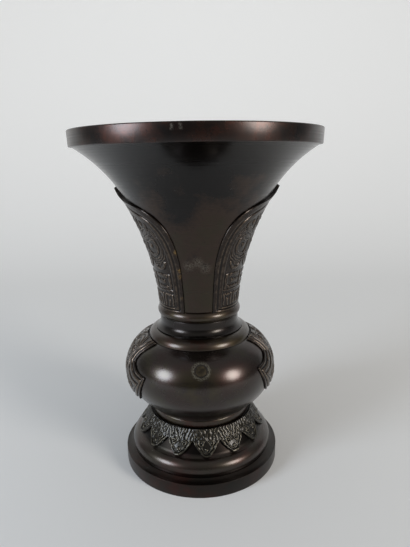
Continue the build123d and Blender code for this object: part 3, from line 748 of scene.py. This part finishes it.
# Belly plaques: two relief plates cast in bronze that hang from the shoulder ring on the belly's sides.
# Three raised lines follow the deep hooked edge, and rings in whorls, bosses and scrolls fill the field.
PLAQUE_BED = 0.2
PLAQUE_FIELD = 1.0
RELIEF_HEIGHT = 0.6
SHOULDER = 0.9
EDGE_ROUND = 0.8
EDGE_DROP = 0.6
EDGE_THINNING = 0.6
EDGE_REACH = 5.0
EDGE_STATIONS = 70
RING_WIDTH = 2.2
RING_GROOVE_WIDTH = 0.7
RING_GROOVE_DEPTH = 0.2
BOSS_RADIUS = 1.9
BOSS_HEIGHT = 0.75
WHORL_STEPS = (1.6, 3.1, 4.6)
WHORL_WIDTH = 1.1
WHORL_HEIGHT = 0.42
SCROLL_HEIGHT = 0.45
SCROLL_STATIONS = 6
PLAQUE_HAND = 0.45
BELLY_PLAQUE_SEED = 5
BELLY_PLAQUE_FOOT = 51.6
BELLY_PLAQUE_TOP = 97.2
BELLY_PLAQUE_HEIGHT = 52.0
BELLY_PLAQUE_RADIUS = 53.8
BELLY_PLAQUE_CONTRAST = 2.5
# Each side's azimuth from the front, and how much higher its foot is.
BELLY_PLAQUE_SIDES = (("left", -87.0, 0.0), ("right", 93.0, 4.0))
# Share of the height, half angle from the middle line, and how the lines inside shift: up at 1, down at -1.
BELLY_PLAQUE_EDGE = (
    (0.0, 12.0, 0.8), (0.07, 24.0, 0.5), (0.17, 33.0, 0.3), (0.31, 38.0, 0.0), (0.44, 41.5, -0.5),
    (0.53, 43.5, -0.85), (0.55, 36.0, -0.85), (0.6, 29.5, -0.6), (0.655, 26.0, -0.3), (0.72, 27.0, 0.0),
    (0.8, 30.5, 0.0), (0.875, 35.0, 0.0), (1.0, 42.0, 0.0),
)
# How far in from the edge the raised lines end and start by turns.
BELLY_PLAQUE_LINES = (1.9, 2.8, 5.6, 7.2, 10.2)
# Share of the height, half angle and radius of each ring.
BELLY_RINGS = ((0.27, 15.0, 5.4), (0.51, 7.5, 5.2), (0.72, 8.0, 5.0))
# Width of each scroll and the points it runs through, across and up from the middle of the foot.
BELLY_SCROLLS = (
    (1.3, ((0.6, 9.0), (3.6, 12.5), (6.4, 18.0), (5.2, 22.0), (1.2, 23.0))),
    (1.3, ((21.0, 14.5), (23.5, 18.5), (22.8, 22.0), (17.0, 25.0), (10.0, 26.0))),
    (1.2, ((0.0, 31.5), (4.5, 33.5), (9.5, 33.0), (13.0, 35.5))),
    (1.2, ((0.0, 46.0), (4.0, 45.0), (9.0, 46.5), (13.5, 44.0))),
    (1.2, ((6.0, 7.5), (11.0, 8.6), (15.0, 11.0))),
)
BELLY_ROWS = 240
BELLY_COLUMNS = 300
BELLY_STATIONS = 2000


def belly_surface(level, out):
    """Radius and height of the belly's outside at a level, moved outwards along its normal."""
    upper = level >= BELLY_MIDDLE
    centre = np.where(upper, UPPER_CENTRE, LOWER_CENTRE)
    curve = np.where(upper, UPPER_CURVE, LOWER_CURVE)
    turn = np.arcsin(np.clip((level - BELLY_MIDDLE) / curve, -1, 1))
    lowest = -radians(LOWER_TURN)
    on_cone = turn < lowest
    turn = np.where(on_cone, lowest, turn)
    slide = np.where(on_cone, (BELLY_MIDDLE + curve * sin(lowest) - level) / cos(lowest), 0)
    radius = centre + curve * np.cos(turn) + slide * sin(lowest) + out * np.cos(turn)
    height = BELLY_MIDDLE + curve * np.sin(turn) - slide * cos(lowest) + out * np.sin(turn)
    return radius, height


def curved(points):
    """Chain of points of a smooth curve through a few given ones."""
    given = [points[0], *points, points[-1]]
    chain = []
    for place in range(1, len(given) - 2):
        before, start, end, after = (np.array(point, float) for point in given[place - 1 : place + 3])
        for share in np.linspace(0, 1, SCROLL_STATIONS)[:-1]:
            pull = (end - before) * share + (2 * before - 5 * start + 4 * end - after) * share**2
            chain.append(start + 0.5 * (pull + (3 * start - before - 3 * end + after) * share**3))
    chain.append(np.array(points[-1], float))
    return chain


def raised(inside, height):
    """Height of a flat form with rounded shoulders, by the distance inwards from its edge."""
    share = np.clip(inside / SHOULDER, 0, 1)
    return height * np.sqrt(1 - (1 - share) ** 2)


def flowing(place, places, values):
    """Value at each place on a smooth curve through given values, which never swings past them."""
    places = np.array(places, float)
    values = np.array(values, float)
    steps = np.diff(places)
    slopes = np.diff(values) / steps
    same_way = slopes[:-1] * slopes[1:] > 0
    paired = np.where(same_way, slopes[:-1] + slopes[1:], 1.0)
    bends = np.where(same_way, 2 * slopes[:-1] * slopes[1:] / paired, 0.0)
    tangents = np.concatenate([slopes[:1], bends, slopes[-1:]])
    cell = np.clip(np.searchsorted(places, place) - 1, 0, len(steps) - 1)
    share = np.clip((place - places[cell]) / steps[cell], 0, 1)
    pull = share * (1 - share) ** 2 * tangents[cell] - share**2 * (1 - share) * tangents[cell + 1]
    return values[cell] + (values[cell + 1] - values[cell]) * eased(share) + pull * steps[cell]


def inset_edge(edge, step, height, radius):
    """Plate's edge moved inwards by a step, without its tip, as (share of the height, half angle)."""
    inset = []
    for share, half_angle, lean in edge:
        narrowed = half_angle - degrees(step / radius)
        if narrowed > 0:
            inset.append((share + lean * step / height, narrowed))
    return inset


def edge_lines(edge, lines, height, radius, share, angle, across, up, flatten):
    """Relief of a plate's raised lines, its field within them and each place's gap from the edge."""
    insides = []
    gaps = []
    for step in (0, *lines):
        shares, angles = zip(*inset_edge(edge, step, height, radius))
        half_angle = flowing(share, shares, angles)
        insides.append((np.abs(angle) < half_angle) & (share > shares[0]) & (share < shares[-1]))
        places = np.linspace(shares[0], shares[-1], EDGE_STATIONS)
        chain = [flatten(place, flowing(place, shares, angles)) for place in places]
        chain = [(0.0, chain[0][1]), *chain, (0.0, chain[-1][1])] if step else chain
        gaps.append(line_distance(chain, np.abs(across), up))
    relief = np.zeros_like(across)
    for outer, inner in zip(range(0, len(insides), 2), range(1, len(insides), 2)):
        on_line = insides[outer] & ~insides[inner] if outer else ~insides[inner]
        inwards = np.minimum(gaps[outer], gaps[inner]) if outer else gaps[inner]
        relief = np.maximum(relief, np.where(on_line, raised(inwards, RELIEF_HEIGHT), 0))
    return relief, insides[-1], gaps[0]


def ring_relief(rings, reach):
    """Relief of rings about bosses, where reach gives each place's distance from a ring's middle."""
    relief = 0.0
    for share, half_angle, radius in rings:
        distance = reach(share, half_angle)
        from_band = np.abs(distance - radius + RING_WIDTH / 2)
        groove = ridge(from_band, RING_GROOVE_WIDTH, RING_GROOVE_DEPTH)
        relief = np.maximum(relief, raised(RING_WIDTH / 2 - from_band, RELIEF_HEIGHT) - groove)
        relief = np.maximum(relief, ridge(distance, 2 * BOSS_RADIUS, BOSS_HEIGHT))
        for echo in WHORL_STEPS:
            relief = np.maximum(relief, ridge(np.abs(distance - radius - echo), WHORL_WIDTH, WHORL_HEIGHT))
    return relief


def scroll_relief(scrolls, across, up):
    """Relief of scrolls that mirror about a plate's middle line."""
    relief = 0.0
    for width, points in scrolls:
        gap = line_distance(curved(points), np.abs(across), up)
        relief = np.maximum(relief, ridge(gap, width, SCROLL_HEIGHT))
    return relief


# Brown bronze, dark in the hollows with grime and painted shade, and warm ridges lighter with rubbing by
# hands and painted highlight.
relief_bronze = worn_and_shaded_relief(
    "relief_bronze_worn_and_shaded", hollow="#0C0907", ground="#271E18", worn_and_highlight="#66584A", roughness=0.26
)


def plaque_piece(node, surface, level, sideways, turn, height, edge_gap, contrast):
    """Closed relief plate on a turned surface, at an azimuth from the front, with a rounded edge."""
    azimuth = radians(turn) + sideways
    edge_share = np.clip(edge_gap / EDGE_ROUND, 0, 1)
    edge_fall = EDGE_DROP * (1 - np.sqrt(1 - (1 - edge_share) ** 2))
    edge_fall = edge_fall + EDGE_THINNING * (1 - eased(edge_gap / EDGE_REACH))
    grids = []
    for offset in (PLAQUE_BED + PLAQUE_FIELD + height - edge_fall, PLAQUE_BED + 0 * height):
        radius, up_level = surface(level + 0 * sideways, offset)
        grids.append(np.stack([radius * np.sin(azimuth), -radius * np.cos(azimuth), up_level], axis=-1))
    vertices, faces = plate_mesh(*grids)
    piece = make_piece(
        node + "_relief", vertices, faces, relief_bronze, node, RELIEF_SHARP_ANGLE
    )
    set_relief(piece, relief_shade(height, contrast))


def belly_plaque(side, turn, lift):
    """Belly plaque on a side, at an azimuth from the front, with its foot lifted."""
    foot_level = BELLY_PLAQUE_FOOT + lift
    fine_level = np.linspace(foot_level, BELLY_PLAQUE_TOP, BELLY_STATIONS)
    fine_radius, fine_height = belly_surface(fine_level, 0.0)
    run = np.concatenate([[0], np.cumsum(np.hypot(np.diff(fine_radius), np.diff(fine_height)))])
    lengths = np.linspace(0, run[-1], BELLY_ROWS)
    level = np.interp(lengths, run, fine_level)[:, None]
    share = (level - foot_level) / BELLY_PLAQUE_HEIGHT
    edge_shares, edge_angles, _ = zip(*BELLY_PLAQUE_EDGE)
    half_angle = np.radians(flowing(share, edge_shares, edge_angles))
    sideways = np.linspace(-1, 1, BELLY_COLUMNS)[None, :] * half_angle
    radius = belly_surface(level, 0.0)[0]
    flat_across = sideways * radius
    flat_up = lengths[:, None] + 0 * flat_across
    across, up = hand_cut(flat_across, flat_up, BELLY_PLAQUE_SEED, PLAQUE_HAND)

    def flatten(place, angle):
        """Place of the plate's outline laid flat."""
        at_level = foot_level + place * BELLY_PLAQUE_HEIGHT
        at_radius = np.interp(at_level, fine_level, fine_radius)
        return radians(angle) * at_radius, np.interp(at_level, fine_level, run)

    def ring_reach(place, angle):
        """Distance of each place from a ring's middle, seen straight from the side."""
        rise = level - foot_level - place * BELLY_PLAQUE_HEIGHT
        return np.hypot(np.abs(across) - radians(angle) * radius, rise)

    height, in_field, edge_gap = edge_lines(
        BELLY_PLAQUE_EDGE,
        BELLY_PLAQUE_LINES,
        BELLY_PLAQUE_HEIGHT,
        BELLY_PLAQUE_RADIUS,
        share + 0 * flat_across,
        np.degrees(sideways),
        flat_across,
        flat_up,
        flatten,
    )
    field = np.maximum(ring_relief(BELLY_RINGS, ring_reach), scroll_relief(BELLY_SCROLLS, across, up))
    height = np.maximum(height, np.where(in_field, field, 0))
    plaque_piece(
        "belly_plaque_" + side,
        belly_surface,
        level,
        sideways,
        turn,
        height,
        edge_gap,
        BELLY_PLAQUE_CONTRAST,
    )


for side, turn, lift in BELLY_PLAQUE_SIDES:
    belly_plaque(side, turn, lift)

# Trumpet: the long flared neck, cast in bronze and turned to a thin lip, dark brown and plain.
# Its spigot is soldered into the belly's collar.
NECK_RADIUS = 26.8
NECK_SPIGOT_FOOT = 93.8
LIP_RADIUS = 81.2
LIP_HEIGHT = 6.2
TRUMPET_HEIGHT = 116.2
TRUMPET_WALL = 3.0
# The flare is a slow curve and a fast one near the lip, which share its spread.
SLOW_SHARE = 0.76
SLOW_POWER = 1.9
FAST_POWER = 8.0
FLARE_STATIONS = 120
FLARE_CROWDING = 0.85
LIP_LEVEL = COLLAR_TOP + TRUMPET_HEIGHT
LIP_TOP = LIP_LEVEL + LIP_HEIGHT
SCUFF_PLACES = ((-5.9, -31.9, 154.3), (0.0, -33.2, 157.0), (5.1, -31.6, 152.8))
NICK_PLACES = ((43.0, -40.3, 210.2), (45.0, -59.9, 225.5))


def trumpet_surface(level, out):
    """Radius and height of the trumpet's outside at a level, moved outwards along its normal."""
    share = np.clip((level - COLLAR_TOP) / TRUMPET_HEIGHT, 0, 1)
    span = LIP_RADIUS - NECK_RADIUS
    radius = NECK_RADIUS + span * (SLOW_SHARE * share**SLOW_POWER + (1 - SLOW_SHARE) * share**FAST_POWER)
    slope = SLOW_SHARE * SLOW_POWER * share ** (SLOW_POWER - 1)
    slope = slope + (1 - SLOW_SHARE) * FAST_POWER * share ** (FAST_POWER - 1)
    slope = slope * span / TRUMPET_HEIGHT
    steep = np.hypot(1, slope)
    return radius + out / steep, level - out * slope / steep


neck_spigot_radius = COLLAR_BORE - JOINT_GAP
flare_levels = COLLAR_TOP + TRUMPET_HEIGHT * np.linspace(0, 1, FLARE_STATIONS) ** FLARE_CROWDING
outside = list(zip(*trumpet_surface(flare_levels, 0.0)))
inside = list(zip(*trumpet_surface(flare_levels, -TRUMPET_WALL)))
lip_bore = inside[-1][0]
trumpet_profile = [
    *outside,
    (LIP_RADIUS, LIP_TOP),
    (lip_bore, LIP_TOP),
    *inside[::-1],
    (NECK_RADIUS - TRUMPET_WALL, NECK_SPIGOT_FOOT),
    (neck_spigot_radius, NECK_SPIGOT_FOOT),
    (neck_spigot_radius, COLLAR_TOP),
]
# Dark patina that browns down the neck, painted near black towards the lip as a dark reflection of the
# room: a satin that streaks the lights along the turning.
trumpet_bronze = patinated_bronze(
    "trumpet_bronze_dark_satin",
    ("#0F0B0A", "#32241B", "#2B2716"),
    roughness=0.3,
    wax=(0.6, 0.15),
    cloud_mm=38.0,
    lines=(1.5, 0.1),
    # Painted dark reflection: the clouds shift towards the near black brown by the lip, and a little
    # towards olive low on the neck.
    drift=((175.0, 0.05), (218.0, -0.24)),
)
# Pale scuffs on the front of the neck, and two dark nicks under the lip.
stain(trumpet_bronze, SCUFF_PLACES, radius=0.0, width=5.5, colour="#857F72", strength=0.4, grain_mm=0.8)
stain(trumpet_bronze, NICK_PLACES, radius=0.0, width=3.0, colour=GRIME_AND_SHADE, strength=1.0, grain_mm=1.1)
turned_piece("mouth_trumpet", trumpet_profile, trumpet_bronze)

# Neck ring: a bead turned in bronze, of the same brown as the other rings.
# It is slipped over the neck and stands on the collar.
BEAD_BORE = 27.1
BEAD_HEIGHT = 6.9
BEAD_SWELL = 1.6
BEAD_TOP = COLLAR_TOP + BEAD_HEIGHT
bead_profile = [
    (BEAD_BORE, BEAD_TOP),
    (BEAD_BORE, COLLAR_TOP),
    *bowed((COLLAR_RADIUS, COLLAR_TOP), (COLLAR_RADIUS, BEAD_TOP), (BEAD_SWELL, 0.0), steps=18),
]
turned_piece("neck_ring", softened(bead_profile, radius=0.2), moulding_bronze)

# Neck plaques: leaf-shaped relief plates cast in bronze, sweated onto both sides of the neck.
# A double raised border runs round rows of key frets, cups, rings and scrolls that mirror about the middle.
NECK_PLAQUE_FOOT = BEAD_TOP + PLAQUE_BED
NECK_PLAQUE_HEIGHT = 84.0
NECK_PLAQUE_CONTRAST = 1.2
NECK_PLAQUE_SEED = 3
NECK_PLAQUE_SIDES = (("left", -90.0), ("right", 90.0))
NECK_PLAQUE_EDGE = (
    (0.0, 69.5, 0.5), (0.36, 69.5, 0.0), (0.54, 67.0, -0.2), (0.67, 62.5, -0.4), (0.76, 56.0, -0.6),
    (0.83, 46.0, -0.9), (0.875, 31.0, -1.0), (0.915, 16.0, -1.0), (0.96, 7.0, -1.0), (1.0, 1.2, -1.0),
)
NECK_PLAQUE_LINES = (2.4, 3.3, 6.0)
# The tip hooks outwards and keeps its full thickness from these shares of the height on.
HOOK_LIFT = 0.8
HOOK_START = 0.86
HOOK_THICK_START = 0.84
HOOK_LENGTH = 0.1
# Bars of a fret, as shares of its cell: low, high, inner and outer.
UPRIGHT_FRET = (
    (0.0, 1.0, 0.0, 0.21), (0.8, 1.0, 0.24, 0.76), (0.0, 1.0, 0.79, 1.0), (0.0, 0.58, 0.4, 0.6),
)
BOX_FRET = (
    (0.0, 0.24, 0.0, 0.79), (0.76, 1.0, 0.0, 0.79), (0.0, 1.0, 0.82, 1.0), (0.38, 0.62, 0.0, 0.62),
)
# Each cell's fret, its low and high share of the height, and its inner and outer angle.
NECK_FRET_CELLS = (
    (UPRIGHT_FRET, 0.045, 0.152, 1.0, 18.0),
    (UPRIGHT_FRET, 0.045, 0.152, 20.0, 37.0),
    (UPRIGHT_FRET, 0.045, 0.152, 39.0, 56.0),
    (BOX_FRET, 0.19, 0.322, 1.5, 27.0),
    (BOX_FRET, 0.19, 0.322, 29.5, 55.0),
)
# Share of the height, half angle and radius of each cup, and then of each ring.
NECK_CUPS = ((0.43, 14.0, 7.0), (0.43, 41.0, 6.6))
CUP_LINE_RADIUS = 3.0
CUP_LINE_WIDTH = 1.0
CUP_LINE_HEIGHT = 0.4
NECK_RINGS = ((0.55, 36.0, 7.4), (0.55, 11.5, 6.2), (0.725, 30.5, 7.2), (0.74, 10.5, 6.4))
NECK_SCROLLS = (
    (1.3, ((14.4, 41.0), (15.2, 47.0), (14.0, 53.0), (16.5, 56.0))),
    (1.4, ((29.8, 40.0), (32.0, 45.0), (32.6, 51.0), (30.0, 55.5), (25.0, 56.0))),
    (1.3, ((31.6, 57.5), (31.2, 63.0), (28.0, 68.5), (22.0, 71.0))),
    (1.3, ((14.8, 57.0), (15.0, 63.0), (15.6, 68.5), (12.0, 72.0))),
    (1.3, ((0.0, 54.0), (1.6, 57.0), (0.8, 62.0), (0.0, 68.0))),
    (1.2, ((0.0, 15.2), (31.0, 15.2))),
)
NECK_ROWS = 330
NECK_COLUMNS = 330
NECK_CROWDING = 0.92
FLECK_PLACES = (
    (-11.6, -31.2, 151.0), (-11.4, -30.6, 146.5), (-11.0, -28.8, 131.0), (-13.4, -33.0, 164.0),
)
neck_share = np.linspace(0, 1, NECK_ROWS)[:, None] ** NECK_CROWDING
neck_level = NECK_PLAQUE_FOOT + NECK_PLAQUE_HEIGHT * neck_share
edge_shares, edge_angles, _ = zip(*NECK_PLAQUE_EDGE)
neck_half_angle = np.radians(flowing(neck_share, edge_shares, edge_angles))
neck_sideways = np.linspace(-1, 1, NECK_COLUMNS)[None, :] * neck_half_angle
neck_radius = trumpet_surface(neck_level, 0.0)[0]
neck_across = neck_sideways * neck_radius
neck_up = NECK_PLAQUE_HEIGHT * neck_share + 0 * neck_across
cut_across, cut_up = hand_cut(neck_across, neck_up, NECK_PLAQUE_SEED, PLAQUE_HAND)


def flatten_neck(place, angle):
    """Place of the neck plaque's outline laid flat."""
    at_level = NECK_PLAQUE_FOOT + place * NECK_PLAQUE_HEIGHT
    return radians(angle) * float(trumpet_surface(at_level, 0.0)[0]), place * NECK_PLAQUE_HEIGHT


def neck_reach(place, angle):
    """Distance of each place on the neck plaque from a ring's middle."""
    aside = np.abs(cut_across) - radians(angle) * neck_radius
    return np.hypot(aside, cut_up - place * NECK_PLAQUE_HEIGHT)


def fret_bar(low, high, inner, outer):
    """Relief of one bar on the neck plaque, between two shares of the height and two angles."""
    from_sides = np.minimum(
        np.abs(cut_across) - radians(inner) * neck_radius, radians(outer) * neck_radius - np.abs(cut_across)
    )
    from_ends = np.minimum(cut_up - low * NECK_PLAQUE_HEIGHT, high * NECK_PLAQUE_HEIGHT - cut_up)
    return raised(np.minimum(from_sides, from_ends), RELIEF_HEIGHT)


neck_height, in_field, neck_edge_gap = edge_lines(
    NECK_PLAQUE_EDGE,
    NECK_PLAQUE_LINES,
    NECK_PLAQUE_HEIGHT,
    NECK_RADIUS,
    neck_share + 0 * neck_across,
    np.degrees(neck_sideways),
    neck_across,
    neck_up,
    flatten_neck,
)
neck_edge_gap = neck_edge_gap + EDGE_REACH * eased((neck_share - HOOK_THICK_START) / HOOK_LENGTH)
field = np.maximum(ring_relief(NECK_RINGS, neck_reach), scroll_relief(NECK_SCROLLS, cut_across, cut_up))
for place, angle, cup_radius in NECK_CUPS:
    distance = neck_reach(place, angle)
    below = place * NECK_PLAQUE_HEIGHT - cut_up
    band = np.minimum(RING_WIDTH / 2 - np.abs(distance - cup_radius + RING_WIDTH / 2), below)
    cup_line = ridge(np.abs(distance - CUP_LINE_RADIUS), CUP_LINE_WIDTH, CUP_LINE_HEIGHT)
    field = np.maximum(field, raised(band, RELIEF_HEIGHT))
    field = np.maximum(field, np.where(below > 0, cup_line, 0))
for fret, low, high, inner, outer in NECK_FRET_CELLS:
    for bar_low, bar_high, bar_inner, bar_outer in fret:
        bar = fret_bar(
            low + (high - low) * bar_low,
            low + (high - low) * bar_high,
            inner + (outer - inner) * bar_inner,
            inner + (outer - inner) * bar_outer,
        )
        field = np.maximum(field, bar)
neck_height = np.maximum(neck_height, np.where(in_field, field, 0))
neck_height = neck_height + HOOK_LIFT * eased((neck_share - HOOK_START) / HOOK_LENGTH)
# Bare yellow metal where the front edge of the left plate has been knocked.
stain(relief_bronze, FLECK_PLACES, radius=0.0, width=2.6, colour="#B8924E", strength=0.85, grain_mm=0.8)
for side, turn in NECK_PLAQUE_SIDES:
    plaque_piece(
        "neck_plaque_" + side,
        trumpet_surface,
        neck_level,
        neck_sideways,
        turn,
        neck_height,
        neck_edge_gap,
        NECK_PLAQUE_CONTRAST,
    )

# Rim band: a heavy ring turned in bronze with fine lines, redder than the rest.
# It is shrunk onto the trumpet's lip and covers its top edge.
RIM_RADIUS = 83.6
RIM_TAPER = 0.4
MOUTH_LEVEL = 240.0
CHIP_PLACES = ((-10.7, -82.9, 238.0), (-10.9, -82.9, 236.4), (-6.5, -83.3, 238.3), (-6.2, -83.3, 236.7))
rim_profile = [
    (RIM_RADIUS, MOUTH_LEVEL),
    (lip_bore, MOUTH_LEVEL),
    (lip_bore, LIP_TOP),
    (LIP_RADIUS + JOINT_GAP, LIP_TOP),
    (LIP_RADIUS + JOINT_GAP, LIP_LEVEL),
    (RIM_RADIUS - RIM_TAPER, LIP_LEVEL),
]
# Red-brown patina over turning lines: small warm clouds under a satin wax.
rim_bronze = patinated_bronze(
    "rim_bronze_red_brown",
    ("#120805", "#24120A", "#38190C"),
    roughness=0.38,
    wax=(0.8, 0.27),
    cloud_mm=12.0,
    lines=(0.9, 0.012),
)
# Two pale chips where the patina has gone from the front of the band.
stain(rim_bronze, CHIP_PLACES, radius=0.0, width=1.4, colour="#A09A8E", strength=0.8, grain_mm=0.5)
turned_piece("rim_band", softened(rim_profile, radius=0.8), rim_bronze)

# Floor and backdrop: one sheet of pale paper, laid flat under the vase.
# It sweeps up behind the vase in one wide bend, sizes in metres.
SWEEP_WIDTH = 3.0
SWEEP_FRONT = -1.6
SWEEP_BACK = 1.5
SWEEP_BEND = 1.0
SWEEP_TOP = 2.2
GLOW_START = -0.1
GLOW_CURVE = 0.9
sweep_line = [
    (SWEEP_FRONT, 0.0),
    *arc_points((SWEEP_BACK - SWEEP_BEND, SWEEP_BEND), SWEEP_BEND, -90, 0, steps=25),
    (SWEEP_BACK, SWEEP_TOP),
]
sweep_vertices = []
for depth, rise in sweep_line:
    sweep_vertices += [(-SWEEP_WIDTH, depth, rise), (SWEEP_WIDTH, depth, rise)]
sweep_faces = [(2 * row, 2 * row + 1, 2 * row + 3, 2 * row + 2) for row in range(len(sweep_line) - 1)]
sweep_mesh = bpy.data.meshes.new("paper_sweep")
sweep_mesh.from_pydata(sweep_vertices, [], sweep_faces)
sweep_mesh.shade_smooth()
# Matt white paper. Seen straight or mirrored in the bronze it carries a painted glow that brightens away
# from the vase, as lit paper does, and that glow lights nothing else.
paper = bpy.data.materials.new("backdrop_paper_matt")
paper.use_nodes = True
paper_tree = paper.node_tree
paper_place = add_node(paper_tree, "TexCoord", "Object", {})
paper_run = add_node(paper_tree, "SeparateXYZ", "Y", {"Vector": paper_place})
paper_depth = add_node(paper_tree, "MapRange", "Result", (paper_run, GLOW_START, SWEEP_BACK, 0.0, 1.0))
paper_glow = add_node(paper_tree, "Math", "Value", (paper_depth, GLOW_CURVE), operation="POWER")
camera_ray = add_node(paper_tree, "LightPath", "Is Camera Ray", {})
seen_ray = camera_ray
for ray in ("Is Glossy Ray", "Is Transmission Ray"):
    rays = (seen_ray, camera_ray.node.outputs[ray])
    seen_ray = add_node(paper_tree, "Math", "Value", rays, operation="MAXIMUM")
seen_glow = add_node(paper_tree, "Math", "Value", (paper_glow, seen_ray), operation="MULTIPLY")
paper_finish = {
    "Base Color": linear("#D9DAD9"),
    "Roughness": 0.9,
    "Specular IOR Level": 0.1,
    "Emission Color": linear("#B5B5B4"),
    "Emission Strength": seen_glow,
}
set_inputs(paper_tree.nodes["Principled BSDF"], paper_finish)
sweep_mesh.materials.append(paper)
sweep = bpy.data.objects.new("paper_sweep", sweep_mesh)
bpy.context.scene.collection.objects.link(sweep)

# Light: a cool oval softbox from the front left, a warmer one from the front right, and a pale room.
# The room is darker round the sides than above.
LIGHT_DISTANCE = 1.1
LIGHT_AIM = Vector((0.0, 0.0, 0.1))
ROOM_STRENGTHS = (0.07, 0.46)
# Each softbox's name, colour, azimuth, elevation, power, width and height.
SOFTBOXES = (
    ("softbox_left", "#EAF3FF", -57.0, 18.0, 8.2, 0.44, 0.5),
    ("softbox_right", "#FFF9F3", 52.0, 19.0, 6.9, 0.38, 0.46),
)
for name, colour, azimuth, elevation, power, width, height in SOFTBOXES:
    lamp = bpy.data.lights.new(name, "AREA")
    lamp.shape = "ELLIPSE"
    lamp.energy = power
    lamp.color = linear(colour)[:3]
    lamp.size = width
    lamp.size_y = height
    outwards = cos(radians(elevation))
    direction = Vector(
        (outwards * sin(radians(azimuth)), -outwards * cos(radians(azimuth)), sin(radians(elevation)))
    )
    lamp_object = bpy.data.objects.new(name, lamp)
    lamp_object.location = LIGHT_AIM + LIGHT_DISTANCE * direction
    lamp_object.rotation_euler = (-direction).to_track_quat("-Z", "Y").to_euler()
    bpy.context.scene.collection.objects.link(lamp_object)
room = bpy.data.worlds.new("pale_room")
room.use_nodes = True
room_tree = room.node_tree
outward = add_node(room_tree, "TexCoord", "Generated", {})
outward_height = add_node(room_tree, "SeparateXYZ", "Z", {"Vector": outward})
room_strength = add_node(room_tree, "MapRange", "Result", (outward_height, 0.0, 1.0, *ROOM_STRENGTHS))
set_inputs(room_tree.nodes["Background"], {"Color": linear("#FFFFFF"), "Strength": room_strength})
bpy.context.scene.world = room

# Camera: a hand-held phone a little below the rim's height, looking slightly down.
# Its place, tilt and focal length come from fitting the vase's outline.
CAMERA_PLACE = Vector((4.7, -320.1, 221.4)) * MM
CAMERA_PITCH = 0.2445
CAMERA_ROLL = -0.015
FRAME_HEIGHT = 547
FOCAL_PIXELS = 458.0
camera = bpy.data.cameras.new("phone_camera")
camera.sensor_fit = "VERTICAL"
camera.sensor_height = 36.0
camera.lens = FOCAL_PIXELS * camera.sensor_height / FRAME_HEIGHT
camera.clip_start = 0.01
forward = Vector((0.0, cos(CAMERA_PITCH), -sin(CAMERA_PITCH)))
level_right = Vector((1.0, 0.0, 0.0))
level_up = level_right.cross(forward)
right = cos(CAMERA_ROLL) * level_right + sin(CAMERA_ROLL) * level_up
upward = cos(CAMERA_ROLL) * level_up - sin(CAMERA_ROLL) * level_right
camera_object = bpy.data.objects.new("phone_camera", camera)
turned_axes = Matrix((right, upward, -forward)).transposed().to_4x4()
camera_object.matrix_world = Matrix.Translation(CAMERA_PLACE) @ turned_axes
bpy.context.scene.collection.objects.link(camera_object)
bpy.context.scene.camera = camera_object
bpy.context.scene.view_settings.view_transform = "Standard"
